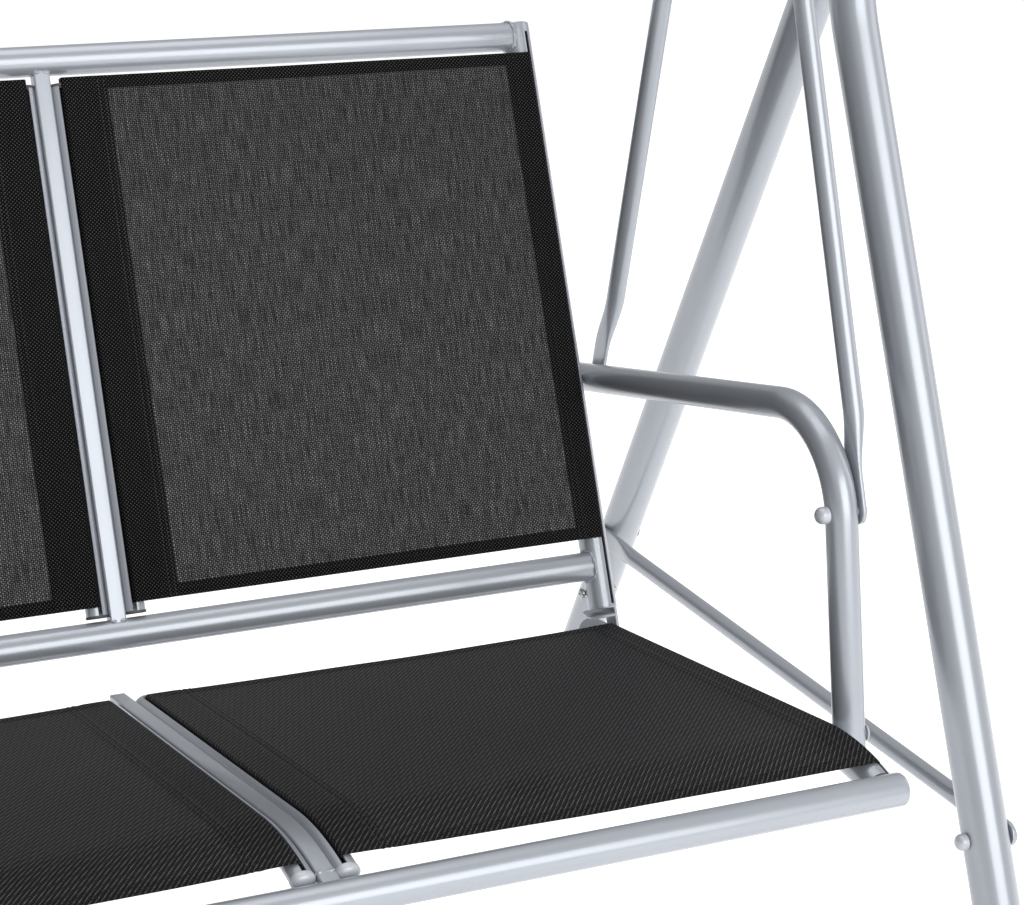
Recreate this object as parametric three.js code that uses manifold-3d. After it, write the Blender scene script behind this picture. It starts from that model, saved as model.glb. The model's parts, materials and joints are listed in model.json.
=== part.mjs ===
// Three-seat porch swing. Millimetres, +Z up, ground at Z = 0, +X to the right of a viewer in front,
// the front of the seat faces -Y. The left side mirrors the right side.
import * as THREE from "three";
import { mergeVertices } from "three/addons/utils/BufferGeometryUtils.js";
import Module from "manifold-3d";

const wasm = await Module();
wasm.setup();

// ---- driving dimensions --------------------------------------------------------------------------
const GAP = 0.3;

// side frames
const LEG_R = 19;
const FRONT_LEG_X = 818;
const REAR_LEG_X = 849;
const BRACE_Z = 381;
const LEG_HALF_SPREAD = 346.5;
const LEG_TILT = THREE.MathUtils.degToRad(25.6);
const LEG_BEND_Z = 973;
const LEG_BEND_R = 250;
const LEG_TOP_Z = 1444;
const BRACE_R = 8;
const FOOT_R = 21.8;
const FOOT_H = 46;

// top beam and pivots
const BEAM_R = 19;
const BEAM_Z = 1420;
const BEAM_END_X = 880;
const PIVOT_Z = 1385;
const HANGER_X = 713.8;
const LUG_INNER = 5.2;
const LUG_T = 4;
const LUG_R = 14;

// hangers and arms
const HANGER_R = 8.1;
const FLAT_HALF_T = 2.1;
const FLAT_HALF_W = 10.5;
const ARM_X = 692.3;
const ARM_R = 12.7;
const ARM_BEND_R = 82;
const ARM_REAR = [168, 622.5];
const ARM_CORNER = [-271.9, 732.8];
const POST_FOOT = [-331.6, 459];
const FRONT_HANGER_BOLT = [-288.9, 655];
const REAR_HANGER_BOLT = [146.5, 627.9];
const POST_BOLT = [-326.2, 484.8];

// seat and back
const RAIL_X = 666.6;
const PITCH = 442.6;
const TUBE_R = 12.7;
const OUTER_RAIL_R = 12.7;
const MID_RAIL_R = 9;
const MID_RAIL_RV = 7;
const RAIL_WALL = 1.6;
const STRUT_HALF_W = 6.8;
const MID_RAIL_DX = STRUT_HALF_W + GAP + MID_RAIL_R;
const SLOT_W = 3.2;
const OUTER_SLOT = 5;
const MID_SLOT = -1.5;
const FABRIC_T = 1.2;

const FRONT_TUBE = [-424.5, 487.8];
const REAR_TUBE = [50, 408];
const LOWER_TUBE = [49.8, 484.7];
const TOP_TUBE = [256.5, 918];
const TUBE_END_X = RAIL_X - OUTER_RAIL_R - GAP;
const FRONT_TUBE_END_X = 677;

// top lines of the seat rails, rear to front: a straight run, then a bend down over the front tube;
// the paired rails between the places rise a little more than the outer ones
const SEAT_LINES = {
  outer: { rear: [62, 429.6], bend: [-330, 498.6], r: 200 },
  mid: { rear: [62, 430.1], bend: [-322, 503.1], r: 240 },
};
const SEAT_FRONT_Y = -411;
const SEAT_FABRIC_REAR_Y = 24;
const SEAT_FABRIC_FRONT_Y = -400;
const SEAT_MID_REAR_Y = 32;
const SEAT_SHEET_ROWS = 3;

// plate that carries the foot of each outer back rail, welded to the outer seat rail: places along the
// back rail and in front of its plane; its ledge lies under the foot
const PLATE_T = 3;
const PLATE_TOP = -14;
const PLATE_FOOT = -79;
const PLATE_FRONT = -8;
const PLATE_REAR = -27;
const PLATE_CORNER = 7;
const LEDGE_Y = [37, 52];
const LEDGE_Z = [438, 441];

const BACK_RAIL_FOOT = -39.5;
const BACK_RAIL_HEAD = 12;
const BACK_FABRIC_LOW = 24;
const BACK_FABRIC_TOP = 17;
const BACK_MID_LOW = 15;
const BACK_MID_TOP = 21;

const BOLT_R = 4;
const HOLE_R = 4.3;

// ---- helpers -------------------------------------------------------------------------------------
const vec = (x, y, z) => new THREE.Vector3(x, y, z);
const circle = (r, n) =>
  Array.from({ length: n }, (_, i) => {
    const a = (2 * Math.PI * (i + 0.5)) / n;
    return [r * Math.cos(a), r * Math.sin(a)];
  });

function outward(g) {
  const p = g.attributes.position;
  const ix = g.index.array;
  let v = 0;
  const a = vec(0, 0, 0);
  const b = vec(0, 0, 0);
  const c = vec(0, 0, 0);
  for (let i = 0; i < ix.length; i += 3) {
    a.fromBufferAttribute(p, ix[i]);
    b.fromBufferAttribute(p, ix[i + 1]);
    c.fromBufferAttribute(p, ix[i + 2]);
    v += a.dot(b.clone().cross(c));
  }
  if (v < 0) for (let i = 0; i < ix.length; i += 3) [ix[i + 1], ix[i + 2]] = [ix[i + 2], ix[i + 1]];
  return g;
}

// Closed skin over rings of equal length; "caps" lists the triangles that close each end.
function skin(rings, caps) {
  const n = rings[0].length;
  const pos = rings.flat().flatMap((v) => [v.x, v.y, v.z]);
  const ix = [];
  for (let k = 0; k + 1 < rings.length; k++)
    for (let i = 0; i < n; i++) {
      const j = (i + 1) % n;
      const [a, b, c, d] = [k * n + i, k * n + j, (k + 1) * n + i, (k + 1) * n + j];
      ix.push(a, b, d, a, d, c);
    }
  const last = (rings.length - 1) * n;
  for (const [a, b, c] of caps) ix.push(a, c, b, last + a, last + b, last + c);
  const g = new THREE.BufferGeometry();
  g.setAttribute("position", new THREE.Float32BufferAttribute(pos, 3));
  g.setIndex(ix);
  return outward(g);
}

const fan = (n) => Array.from({ length: n - 2 }, (_, i) => [0, i + 1, i + 2]);

// Profile [[u, v]] carried along stations { p, u, v, k }.
function sweep(profile, stations) {
  const rings = stations.map(({ p, u, v, k = 1 }) =>
    profile.map(([a, b]) => p.clone().addScaledVector(u, a * k).addScaledVector(v, b * k)),
  );
  const flat = profile.map(([a, b]) => new THREE.Vector2(a, b));
  return skin(rings, THREE.ShapeUtils.triangulateShape(flat, []));
}

// Turned piece along "dir" from "p": pairs of distance and radius.
function turned(p, dir, pairs, n = 14) {
  const w = dir.clone().normalize();
  const u = Math.abs(w.z) < 0.9 ? vec(0, 0, 1).cross(w).normalize() : vec(1, 0, 0);
  const v = w.clone().cross(u);
  return sweep(
    circle(1, n),
    pairs.map(([d, r]) => ({ p: p.clone().addScaledVector(w, d), u, v, k: r })),
  );
}

function toSolid(g) {
  const bare = new THREE.BufferGeometry();
  bare.setAttribute("position", g.attributes.position);
  bare.setIndex(g.index);
  const m = mergeVertices(bare, 1e-4);
  return new wasm.Manifold(
    new wasm.Mesh({
      numProp: 3,
      vertProperties: new Float32Array(m.attributes.position.array),
      triVerts: new Uint32Array(m.index.array),
    }),
  );
}

function fromSolid(s) {
  const m = s.getMesh();
  const g = new THREE.BufferGeometry();
  const pos = [];
  for (let i = 0; i < m.vertProperties.length; i += m.numProp)
    pos.push(m.vertProperties[i], m.vertProperties[i + 1], m.vertProperties[i + 2]);
  g.setAttribute("position", new THREE.Float32BufferAttribute(pos, 3));
  g.setIndex(Array.from(m.triVerts));
  return g;
}

function cut(g, ...tools) {
  let s = toSolid(g);
  for (const t of tools) s = s.subtract(toSolid(t));
  return fromSolid(s);
}

function join(...parts) {
  return fromSolid(parts.map(toSolid).reduce((a, b) => a.add(b)));
}

const rodX = (x0, x1, y, z, r, n = 10) => turned(vec(x0, y, z), vec(1, 0, 0), [[0, r], [x1 - x0, r]], n);
const rodY = (y0, y1, x, z, r, n = 10) => turned(vec(x, y0, z), vec(0, 1, 0), [[0, r], [y1 - y0, r]], n);

function box(x0, x1, y0, y1, z0, z1) {
  const ring = (z) => [vec(x0, y0, z), vec(x1, y0, z), vec(x1, y1, z), vec(x0, y1, z)];
  return skin([ring(z0), ring(z1)], fan(4));
}

// Stations of a path in a plane of constant X. "pts" holds [y, z, bend radius]; v is the side normal.
function planarPath(x, pts, side = 1, step = 11) {
  const out = [];
  const p2 = pts.map(([y, z]) => new THREE.Vector2(y, z));
  const put = (q, d) =>
    out.push({ p: vec(x, q.x, q.y), u: vec(1, 0, 0), v: vec(0, -d.y * side, d.x * side) });
  for (let i = 0; i < p2.length; i++) {
    const din = i > 0 ? p2[i].clone().sub(p2[i - 1]).normalize() : null;
    const dout = i + 1 < p2.length ? p2[i + 1].clone().sub(p2[i]).normalize() : null;
    if (!din || !dout) {
      put(p2[i], din || dout);
      continue;
    }
    const r = pts[i][2];
    const turn = Math.atan2(din.x * dout.y - din.y * dout.x, din.dot(dout));
    const t = r * Math.tan(Math.abs(turn) / 2);
    const a = p2[i].clone().addScaledVector(din, -t);
    const s = Math.sign(turn);
    const centre = a.clone().add(new THREE.Vector2(-din.y * s * r, din.x * s * r));
    const n = Math.max(2, Math.ceil(Math.abs(THREE.MathUtils.radToDeg(turn)) / step));
    for (let k = 0; k <= n; k++) {
      const q = (turn * k) / n;
      put(a.clone().rotateAround(centre, q), din.clone().rotateAround(new THREE.Vector2(), q));
    }
  }
  return out;
}

// Rounds both ends of a swept bar with two narrower stations.
function eased(stations, r, ease) {
  const add = (at, next) => {
    const w = at.p.clone().sub(next.p).normalize();
    const s = (d, k) => ({ ...at, p: at.p.clone().addScaledVector(w, -d), k });
    return [s(0, (r - ease) / r), s(ease * 0.3, (r - ease * 0.3) / r), s(ease, 1)];
  };
  const n = stations.length;
  return [
    ...add(stations[0], stations[1]),
    ...stations.slice(1, n - 1),
    ...add(stations[n - 1], stations[n - 2]).reverse(),
  ];
}

const mirrorX = (g) => outward(g.clone().scale(-1, 1, 1));

// ---- group and materials -------------------------------------------------------------------------
const group = new THREE.Group();
group.name = "porch_swing";

const LOOKS = {
  silver: [0x9fa5ad, 0.32, 0.55],
  fabric: [0x17181a, 0.85, 0],
  zinc: [0xb9bec4, 0.28, 0.9],
  plug: [0x2a2b2d, 0.6, 0],
};

function put(name, geometry, look) {
  const [color, roughness, metalness] = LOOKS[look];
  const g = geometry.index ? geometry.toNonIndexed() : geometry;
  g.computeVertexNormals();
  const mesh = new THREE.Mesh(g, new THREE.MeshStandardMaterial({ color, roughness, metalness }));
  mesh.name = name;
  group.add(mesh);
}

function pair(name, geometry, look) {
  put(`${name}_right`, geometry, look);
  put(`${name}_left`, mirrorX(geometry), look);
}

// ---- side frames ---------------------------------------------------------------------------------
const legY = (z) => LEG_HALF_SPREAD - (z - BRACE_Z) * Math.tan(LEG_TILT);
const bendCornerZ = LEG_BEND_Z + LEG_BEND_R * Math.tan(LEG_TILT / 2) * Math.cos(LEG_TILT);
const LEG_TOP_Y = legY(bendCornerZ);

function leg(x, sgn) {
  const z0 = 12.2;
  const path = planarPath(x, [
    [sgn * legY(z0), z0],
    [sgn * LEG_TOP_Y, bendCornerZ, LEG_BEND_R],
    [sgn * LEG_TOP_Y, LEG_TOP_Z],
  ], 1, 6.5);
  const body = sweep(circle(LEG_R, 20), eased(path, LEG_R, 2.2));
  return cut(
    body,
    rodX(x - 40, x + 40, sgn * legY(BRACE_Z), BRACE_Z, HOLE_R),
    rodY(sgn * LEG_TOP_Y - 40, sgn * LEG_TOP_Y + 40, x, BEAM_Z, HOLE_R),
  );
}

function foot(x, sgn) {
  const d = vec(0, -sgn * Math.sin(LEG_TILT), Math.cos(LEG_TILT));
  const base = vec(x, sgn * legY(0), 0);
  const sleeve = turned(base.clone().addScaledVector(d, -30), d, [
    [0, FOOT_R], [30 + FOOT_H - 3, FOOT_R], [30 + FOOT_H, FOOT_R - 1.4],
  ], 22);
  const bore = turned(base.clone().addScaledVector(d, 12.6), d, [[0, LEG_R + GAP], [90, LEG_R + GAP]], 22);
  return cut(sleeve, bore, box(x - 60, x + 60, sgn * 530 - 90, sgn * 530 + 90, -60, 0));
}

pair("front_leg", leg(FRONT_LEG_X, -1), "silver");
pair("rear_leg", leg(REAR_LEG_X, 1), "silver");
pair("front_foot_cap", foot(FRONT_LEG_X, -1), "plug");
pair("rear_foot_cap", foot(REAR_LEG_X, 1), "plug");

// ---- round bars with flattened, drilled ends -------------------------------------------------------
// a, b: bolt centres; oa, ob: sideways (X) shift of each flat; drill: hole direction X at both ends.
function flatEndedBar(a, b, r, oa, ob, n = 12) {
  const length = a.distanceTo(b);
  const w = b.clone().sub(a).normalize();
  const q = w.clone().cross(vec(1, 0, 0)).normalize();
  const tip = FLAT_HALF_W;
  const near = [
    [-tip, 0.3, 0], [-tip * 0.82, 0.66, 0], [-tip * 0.35, 0.95, 0], [8, 1, 0],
    [30, 1, 0], [38, 1, 0.08], [47, 1, 0.4], [56, 1, 0.76], [66, 1, 0.95], [76, 1, 1],
  ];
  const rows = [
    ...near.map(([s, k, m]) => [s, k, m, oa]),
    ...near.slice().reverse().map(([s, k, m]) => [length - s, k, m, ob]),
  ];
  const rings = rows.map(([s, k, m, off]) => {
    const hw = (FLAT_HALF_W * (1 - m) + r * m) * k;
    const ht = FLAT_HALF_T * (1 - m) + r * m;
    const e = 0.5 + 0.5 * m;
    const c = a.clone().addScaledVector(w, s).add(vec(off * (1 - m), 0, 0));
    return circle(1, n).map(([cx, cy]) => {
      const px = Math.sign(cx) * Math.abs(cx) ** e;
      const py = Math.sign(cy) * Math.abs(cy) ** e;
      return c.clone().addScaledVector(q, hw * px).add(vec(ht * py, 0, 0));
    });
  });
  const hole = (p) => rodX(p.x - 30, p.x + 30, p.y, p.z, HOLE_R);
  return cut(skin(rings, fan(n)), hole(a), hole(b));
}

const FRONT_BRACE_X = FRONT_LEG_X + LEG_R + GAP + FLAT_HALF_T;
const REAR_BRACE_X = REAR_LEG_X - LEG_R - GAP - FLAT_HALF_T;
pair(
  "side_brace",
  flatEndedBar(
    vec(FRONT_BRACE_X, -LEG_HALF_SPREAD, BRACE_Z), vec(REAR_BRACE_X, LEG_HALF_SPREAD, BRACE_Z), BRACE_R, 0, 0,
  ),
  "silver",
);

// Bolt along "dir": flat domed head at the start, domed cap nut at the end of the clamped length.
function bolt(p, dir, grip, head = 3.6, nut = 9) {
  return turned(p, dir, [
    [-head, 2.6], [-head * 0.8, 5], [-head * 0.35, 7], [0, 7.3], [0, BOLT_R], [grip, BOLT_R],
    [grip, 6.8], [grip + nut * 0.45, 6.8], [grip + nut * 0.8, 4.6], [grip + nut, 1.6],
  ], 10);
}

// head outside, cap nut on the inner face of the leg
pair(
  "front_brace_bolt",
  bolt(
    vec(FRONT_BRACE_X + FLAT_HALF_T + GAP, -LEG_HALF_SPREAD, BRACE_Z), vec(-1, 0, 0),
    2 * LEG_R + 2 * FLAT_HALF_T + 3 * GAP,
  ),
  "zinc",
);
pair(
  "rear_brace_bolt",
  bolt(
    vec(REAR_LEG_X + LEG_R + GAP, LEG_HALF_SPREAD, BRACE_Z), vec(-1, 0, 0),
    2 * LEG_R + 2 * FLAT_HALF_T + 3 * GAP,
  ),
  "zinc",
);

// ---- top beam, its bolts, the pivots -----------------------------------------------------------------
function lug(x) {
  const n = 12;
  const outline = [[LUG_R, 22], [-LUG_R, 22]];
  for (let i = 0; i <= n; i++) {
    const a = Math.PI + (Math.PI * i) / n;
    outline.push([LUG_R * Math.cos(a), LUG_R * Math.sin(a)]);
  }
  const at = (dx) => ({ p: vec(x + dx, 0, PIVOT_Z), u: vec(0, 1, 0), v: vec(0, 0, 1) });
  return cut(sweep(outline, [at(-LUG_T / 2), at(LUG_T / 2)]), rodX(x - 20, x + 20, 0, PIVOT_Z, HOLE_R));
}

const beamBar = turned(vec(-BEAM_END_X, 0, BEAM_Z), vec(1, 0, 0), [
  [0, BEAM_R - 2.4], [0.7, BEAM_R - 0.7], [2.4, BEAM_R],
  [2 * BEAM_END_X - 2.4, BEAM_R], [2 * BEAM_END_X - 0.7, BEAM_R - 0.7], [2 * BEAM_END_X, BEAM_R - 2.4],
], 24);
const lugShift = LUG_INNER + LUG_T / 2;
const lugs = [-1, 1].flatMap((s) => [lug(s * HANGER_X - lugShift), lug(s * HANGER_X + lugShift)]);
const beamHoles = [-1, 1].flatMap((s) => [
  rodY(-40, 0, s * FRONT_LEG_X, BEAM_Z, HOLE_R),
  rodY(0, 40, s * REAR_LEG_X, BEAM_Z, HOLE_R),
]);
put("top_beam", cut(join(beamBar, ...lugs), ...beamHoles), "silver");

// carriage bolts through each leg into the beam
function beamBolt(x, sgn) {
  const y = sgn * (LEG_TOP_Y + LEG_R + GAP);
  const reach = LEG_TOP_Y + LEG_R + GAP - 4;
  return turned(vec(x, y, BEAM_Z), vec(0, -sgn, 0), [
    [-3.6, 2.6], [-2.9, 5], [-1.3, 7], [0, 7.3], [0, BOLT_R], [reach, BOLT_R],
  ], 12);
}
pair("front_beam_bolt", beamBolt(FRONT_LEG_X, -1), "zinc");
pair("rear_beam_bolt", beamBolt(REAR_LEG_X, 1), "zinc");

pair(
  "pivot_bolt",
  bolt(
    vec(HANGER_X + lugShift + LUG_T / 2 + GAP, 0, PIVOT_Z), vec(-1, 0, 0),
    2 * (lugShift + LUG_T / 2 + GAP),
  ),
  "zinc",
);

// ---- hangers -----------------------------------------------------------------------------------------
const flatAtArm = ARM_X + ARM_R + GAP + FLAT_HALF_T - HANGER_X;
const flatAtPivot = FLAT_HALF_T + GAP;
const hangerTop = vec(HANGER_X, 0, PIVOT_Z);
pair(
  "front_hanger",
  flatEndedBar(hangerTop, vec(HANGER_X, ...FRONT_HANGER_BOLT), HANGER_R, -flatAtPivot, flatAtArm),
  "silver",
);
pair(
  "rear_hanger",
  flatEndedBar(hangerTop, vec(HANGER_X, ...REAR_HANGER_BOLT), HANGER_R, flatAtPivot, flatAtArm),
  "silver",
);
const hangerGrip = 2 * ARM_R + 2 * FLAT_HALF_T + 3 * GAP;
const hangerBoltX = ARM_X + ARM_R + 2 * FLAT_HALF_T + 2 * GAP;
for (const [name, at] of [["front_hanger_bolt", FRONT_HANGER_BOLT], ["rear_hanger_bolt", REAR_HANGER_BOLT]])
  pair(name, bolt(vec(hangerBoltX, ...at), vec(-1, 0, 0), hangerGrip, 3.6, 10), "zinc");

// ---- armrests ----------------------------------------------------------------------------------------
const armPath = planarPath(ARM_X, [ARM_REAR, [...ARM_CORNER, ARM_BEND_R], POST_FOOT], 1, 11);
pair(
  "armrest",
  cut(
    sweep(circle(ARM_R, 16), eased(armPath, ARM_R, 2)),
    ...[FRONT_HANGER_BOLT, REAR_HANGER_BOLT, POST_BOLT].map(([y, z]) =>
      rodX(ARM_X - 30, ARM_X + 30, y, z, HOLE_R),
    ),
  ),
  "silver",
);
pair(
  "post_bolt",
  bolt(
    vec(ARM_X + ARM_R + GAP, ...POST_BOLT), vec(-1, 0, 0),
    ARM_X + ARM_R + 2 * GAP - (RAIL_X - OUTER_RAIL_R), 3.6, 9,
  ),
  "zinc",
);

// ---- slotted rails and slung panels ------------------------------------------------------------------
// Oval rail section with its top at v = 0 and a slot over u = s, the bore open through the slot.
function railProfile(ru, rv, s, nOut, nIn) {
  const h = SLOT_W / 2;
  const arc = (wall, d0, d1, n) => {
    const at = (du) => Math.acos((s + du) / (ru - wall));
    const [a0, a1] = d0 < 0 ? [at(d0), at(d1) + 2 * Math.PI] : [at(d0) + 2 * Math.PI, at(d1)];
    return Array.from({ length: n + 1 }, (_, i) => {
      const a = a0 + ((a1 - a0) * i) / n;
      return [(ru - wall) * Math.cos(a), (rv - wall) * Math.sin(a) - rv];
    });
  };
  return [...arc(0, -h, h, nOut), ...arc(RAIL_WALL, h, -h, nIn)];
}

// Panel section between two slots: a flat sheet, a tab down each slot and a bead inside each bore.
function panelProfile(u0, u1) {
  const [lo, hi] = [0.4, 0.4 + FABRIC_T];
  const t = FABRIC_T / 2;
  const bead = 2.1;
  return [
    [u0 - t + 0.5, hi], [u0 - t, lo + 0.2], [u0 - t, -4], [u0 - bead, -5.2], [u0 - bead, -6.8], [u0 - 1, -8],
    [u0 + 1, -8], [u0 + bead, -6.8], [u0 + bead, -5.2], [u0 + t, -4], [u0 + t, lo],
    [u1 - t, lo], [u1 - t, -4], [u1 - bead, -5.2], [u1 - bead, -6.8], [u1 - 1, -8],
    [u1 + 1, -8], [u1 + bead, -6.8], [u1 + bead, -5.2], [u1 + t, -4], [u1 + t, lo + 0.2], [u1 + t - 0.5, hi],
  ];
}

const shiftX = (stations, x) => stations.map((s) => ({ ...s, p: vec(x, s.p.y, s.p.z) }));

// Seat line: straight, then an arc that turns down; returned between two values of Y.
function seatStations(y0, y1, x, kind, rows = 1) {
  const { rear, bend, r } = SEAT_LINES[kind];
  const slope = Math.atan2(bend[1] - rear[1], rear[0] - bend[0]);
  const at = (y) => {
    if (y >= bend[0]) return [bend[1] - (y - bend[0]) * Math.tan(slope), slope];
    const q = Math.asin(Math.sin(slope) - (bend[0] - y) / r);
    return [bend[1] + r * (Math.cos(q) - Math.cos(slope)), q];
  };
  const y2 = SEAT_LINES.mid.bend[0];
  const run = Array.from({ length: rows }, (_, i) => y0 + ((y2 - y0) * i) / rows);
  const ys = [...run, y2, SEAT_LINES.outer.bend[0], ...[0.33, 0.66].map((f) => y2 + (y1 - y2) * f), y1];
  return ys.map((y) => {
    const [z, q] = at(y);
    return { p: vec(x, y, z), u: vec(1, 0, 0), v: vec(0, Math.sin(q), Math.cos(q)) };
  });
}

// Back line: along the plane through the two back tubes; v faces forward.
const backDir = vec(0, TOP_TUBE[0] - LOWER_TUBE[0], TOP_TUBE[1] - LOWER_TUBE[1]);
const BACK_LENGTH = backDir.length();
backDir.normalize();
const backNormal = vec(0, -backDir.z, backDir.y);
function backStations(s0, s1, x, lift) {
  return [s0, s1].map((s) => ({
    p: vec(x, LOWER_TUBE[0], LOWER_TUBE[1]).addScaledVector(backDir, s).addScaledVector(backNormal, lift),
    u: vec(1, 0, 0),
    v: backNormal,
  }));
}

const tubeTool = ([y, z]) => rodX(-900, 900, y, z, TUBE_R + GAP, 24);
const outerProfile = railProfile(OUTER_RAIL_R, OUTER_RAIL_R, OUTER_SLOT, 18, 14);
const midProfile = railProfile(MID_RAIL_R, MID_RAIL_RV, MID_SLOT, 16, 12);
const flip = (profile) => profile.map(([u, v]) => [-u, v]).reverse();
const BACK_TOP_LINE = MID_RAIL_R;


// Plate and its weld pad, in the plane beside both outer rails.
function backPlate() {
  const at = (s, n) =>
    vec(0, LOWER_TUBE[0], LOWER_TUBE[1]).addScaledVector(backDir, s).addScaledVector(backNormal, n);
  const [top, foot, front, rear, c] = [PLATE_TOP, PLATE_FOOT, PLATE_FRONT, PLATE_REAR, PLATE_CORNER];
  const outline = [
    [top - c, front], [foot + c, front], [foot, front - c], [foot, rear + c],
    [foot + c, rear], [top - c, rear], [top, rear + c], [top, front - c],
  ].map(([s, n]) => at(s, n));
  const face = (x) => outline.map((q) => vec(x, q.y, q.z));
  const inner = RAIL_X + OUTER_RAIL_R + GAP;
  const weld = at((foot + top) / 2 - 18, (front + rear) / 2);
  return [
    skin([face(inner), face(inner + PLATE_T)], fan(outline.length)),
    box(inner - 1.3, inner + 1, weld.y - 5, weld.y + 5, weld.z - 3, weld.z + 3),
    box(RAIL_X - OUTER_RAIL_R, inner + 1, ...LEDGE_Y, ...LEDGE_Z),
  ];
}

pair(
  "seat_outer_rail",
  cut(
    join(
      sweep(outerProfile, seatStations(SEAT_LINES.outer.rear[0], SEAT_FRONT_Y, RAIL_X, "outer")),
      ...backPlate(),
    ),
    tubeTool(FRONT_TUBE),
    rodX(RAIL_X - 30, RAIL_X + 30, ...POST_BOLT, HOLE_R),
  ),
  "silver",
);
pair(
  "back_outer_rail",
  sweep(outerProfile, backStations(BACK_RAIL_FOOT, BACK_LENGTH + BACK_RAIL_HEAD, RAIL_X, BACK_TOP_LINE)),
  "silver",
);

const DIVISION_X = RAIL_X - PITCH;
const pairedRails = [
  ["outboard", MID_RAIL_DX, midProfile],
  ["inboard", -MID_RAIL_DX, flip(midProfile)],
];
for (const [tag, dx, section] of pairedRails) {
  pair(
    `seat_${tag}_rail`,
    cut(
      sweep(section, seatStations(SEAT_MID_REAR_Y, SEAT_FRONT_Y, DIVISION_X + dx, "mid")),
      tubeTool(FRONT_TUBE), tubeTool(REAR_TUBE),
    ),
    "silver",
  );
  pair(
    `back_${tag}_rail`,
    sweep(section, backStations(BACK_MID_LOW, BACK_LENGTH - BACK_MID_TOP, DIVISION_X + dx, BACK_TOP_LINE)),
    "silver",
  );
}

// struts between the paired rails, their ends shaped to the tubes
const strutProfile = (top, deep) => {
  const [w, c] = [STRUT_HALF_W, 1.6];
  return [
    [-w, top - c], [-w, top - deep], [w, top - deep], [w, top - c], [w - c, top], [-w + c, top],
  ];
};
pair(
  "seat_strut",
  cut(
    sweep(strutProfile(-2.4, 13), seatStations(REAR_TUBE[0] + 2, FRONT_TUBE[0] + 8, DIVISION_X, "mid")),
    tubeTool(FRONT_TUBE), tubeTool(REAR_TUBE),
  ),
  "silver",
);
pair(
  "back_strut",
  cut(
    sweep(strutProfile(-1, 15), backStations(2, BACK_LENGTH - 2, DIVISION_X, BACK_TOP_LINE)),
    tubeTool(LOWER_TUBE), tubeTool(TOP_TUBE),
  ),
  "silver",
);

// ---- cross tubes -------------------------------------------------------------------------------------
function crossTube([y, z], half, ease) {
  const e = ease;
  return turned(vec(-half, y, z), vec(1, 0, 0), [
    [0, TUBE_R - e], [e * 0.3, TUBE_R - e * 0.3], [e, TUBE_R],
    [2 * half - e, TUBE_R], [2 * half - e * 0.3, TUBE_R - e * 0.3], [2 * half, TUBE_R - e],
  ], 20);
}
put("seat_front_tube", crossTube(FRONT_TUBE, FRONT_TUBE_END_X, 4), "silver");
put("seat_rear_tube", crossTube(REAR_TUBE, TUBE_END_X, 1), "silver");
put("back_lower_tube", crossTube(LOWER_TUBE, TUBE_END_X, 1), "silver");
put("back_top_tube", crossTube(TOP_TUBE, TUBE_END_X, 1), "silver");

// ---- slung panels ------------------------------------------------------------------------------------
const outerSlotX = RAIL_X + OUTER_SLOT;
const inSlotX = DIVISION_X + MID_RAIL_DX + MID_SLOT;
const centreSlotX = DIVISION_X - MID_RAIL_DX - MID_SLOT;
const spans = {
  right: [inSlotX, outerSlotX, "mid", "outer"],
  centre: [-centreSlotX, centreSlotX, "mid", "mid"],
  left: [-outerSlotX, -inSlotX, "outer", "mid"],
};

// Adds points along the long edges of a profile, so that a twisted sheet keeps its thickness.
function withColumns(profile, columns) {
  return profile.flatMap(([u, v], i) => {
    const [un, vn] = profile[(i + 1) % profile.length];
    const n = Math.abs(un - u) > PITCH / 2 ? columns : 1;
    return Array.from({ length: n }, (_, k) => [u + ((un - u) * k) / n, v + ((vn - v) * k) / n]);
  });
}

// Sheet ruled between the lines of its two side rails.
function seatPanel(u0, u1, lineA, lineB) {
  const profile = withColumns(panelProfile(u0, u1), 6);
  const [a, b] = [lineA, lineB].map((k) =>
    seatStations(SEAT_FABRIC_REAR_Y, SEAT_FABRIC_FRONT_Y, 0, k, SEAT_SHEET_ROWS));
  const rings = a.map((sa, i) =>
    profile.map(([u, v]) => {
      const w = THREE.MathUtils.clamp((u - u0) / (u1 - u0), 0, 1);
      const side = sa.v.clone().lerp(b[i].v, w).normalize();
      return sa.p.clone().lerp(b[i].p, w).addScaledVector(sa.u, u).addScaledVector(side, v);
    }),
  );
  const flat = profile.map(([u, v]) => new THREE.Vector2(u, v));
  return skin(rings, THREE.ShapeUtils.triangulateShape(flat, []));
}

for (const [where, [u0, u1, lineA, lineB]] of Object.entries(spans)) {
  put(`seat_panel_${where}`, seatPanel(u0, u1, lineA, lineB), "fabric");
  put(
    `back_panel_${where}`,
    sweep(
      panelProfile(u0, u1),
      backStations(BACK_FABRIC_LOW, BACK_LENGTH - BACK_FABRIC_TOP, 0, BACK_TOP_LINE),
    ),
    "fabric",
  );
}

export default group;
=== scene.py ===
"""Three-seat porch swing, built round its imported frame.

Shapes are worked out in millimetres and made in metres. +Z is up, the ground is Z = 0, and the seat
faces -Y. The left side mirrors the right side.
"""

import json
import math

import bpy
import numpy as np
from mathutils import Matrix, Vector


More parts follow.
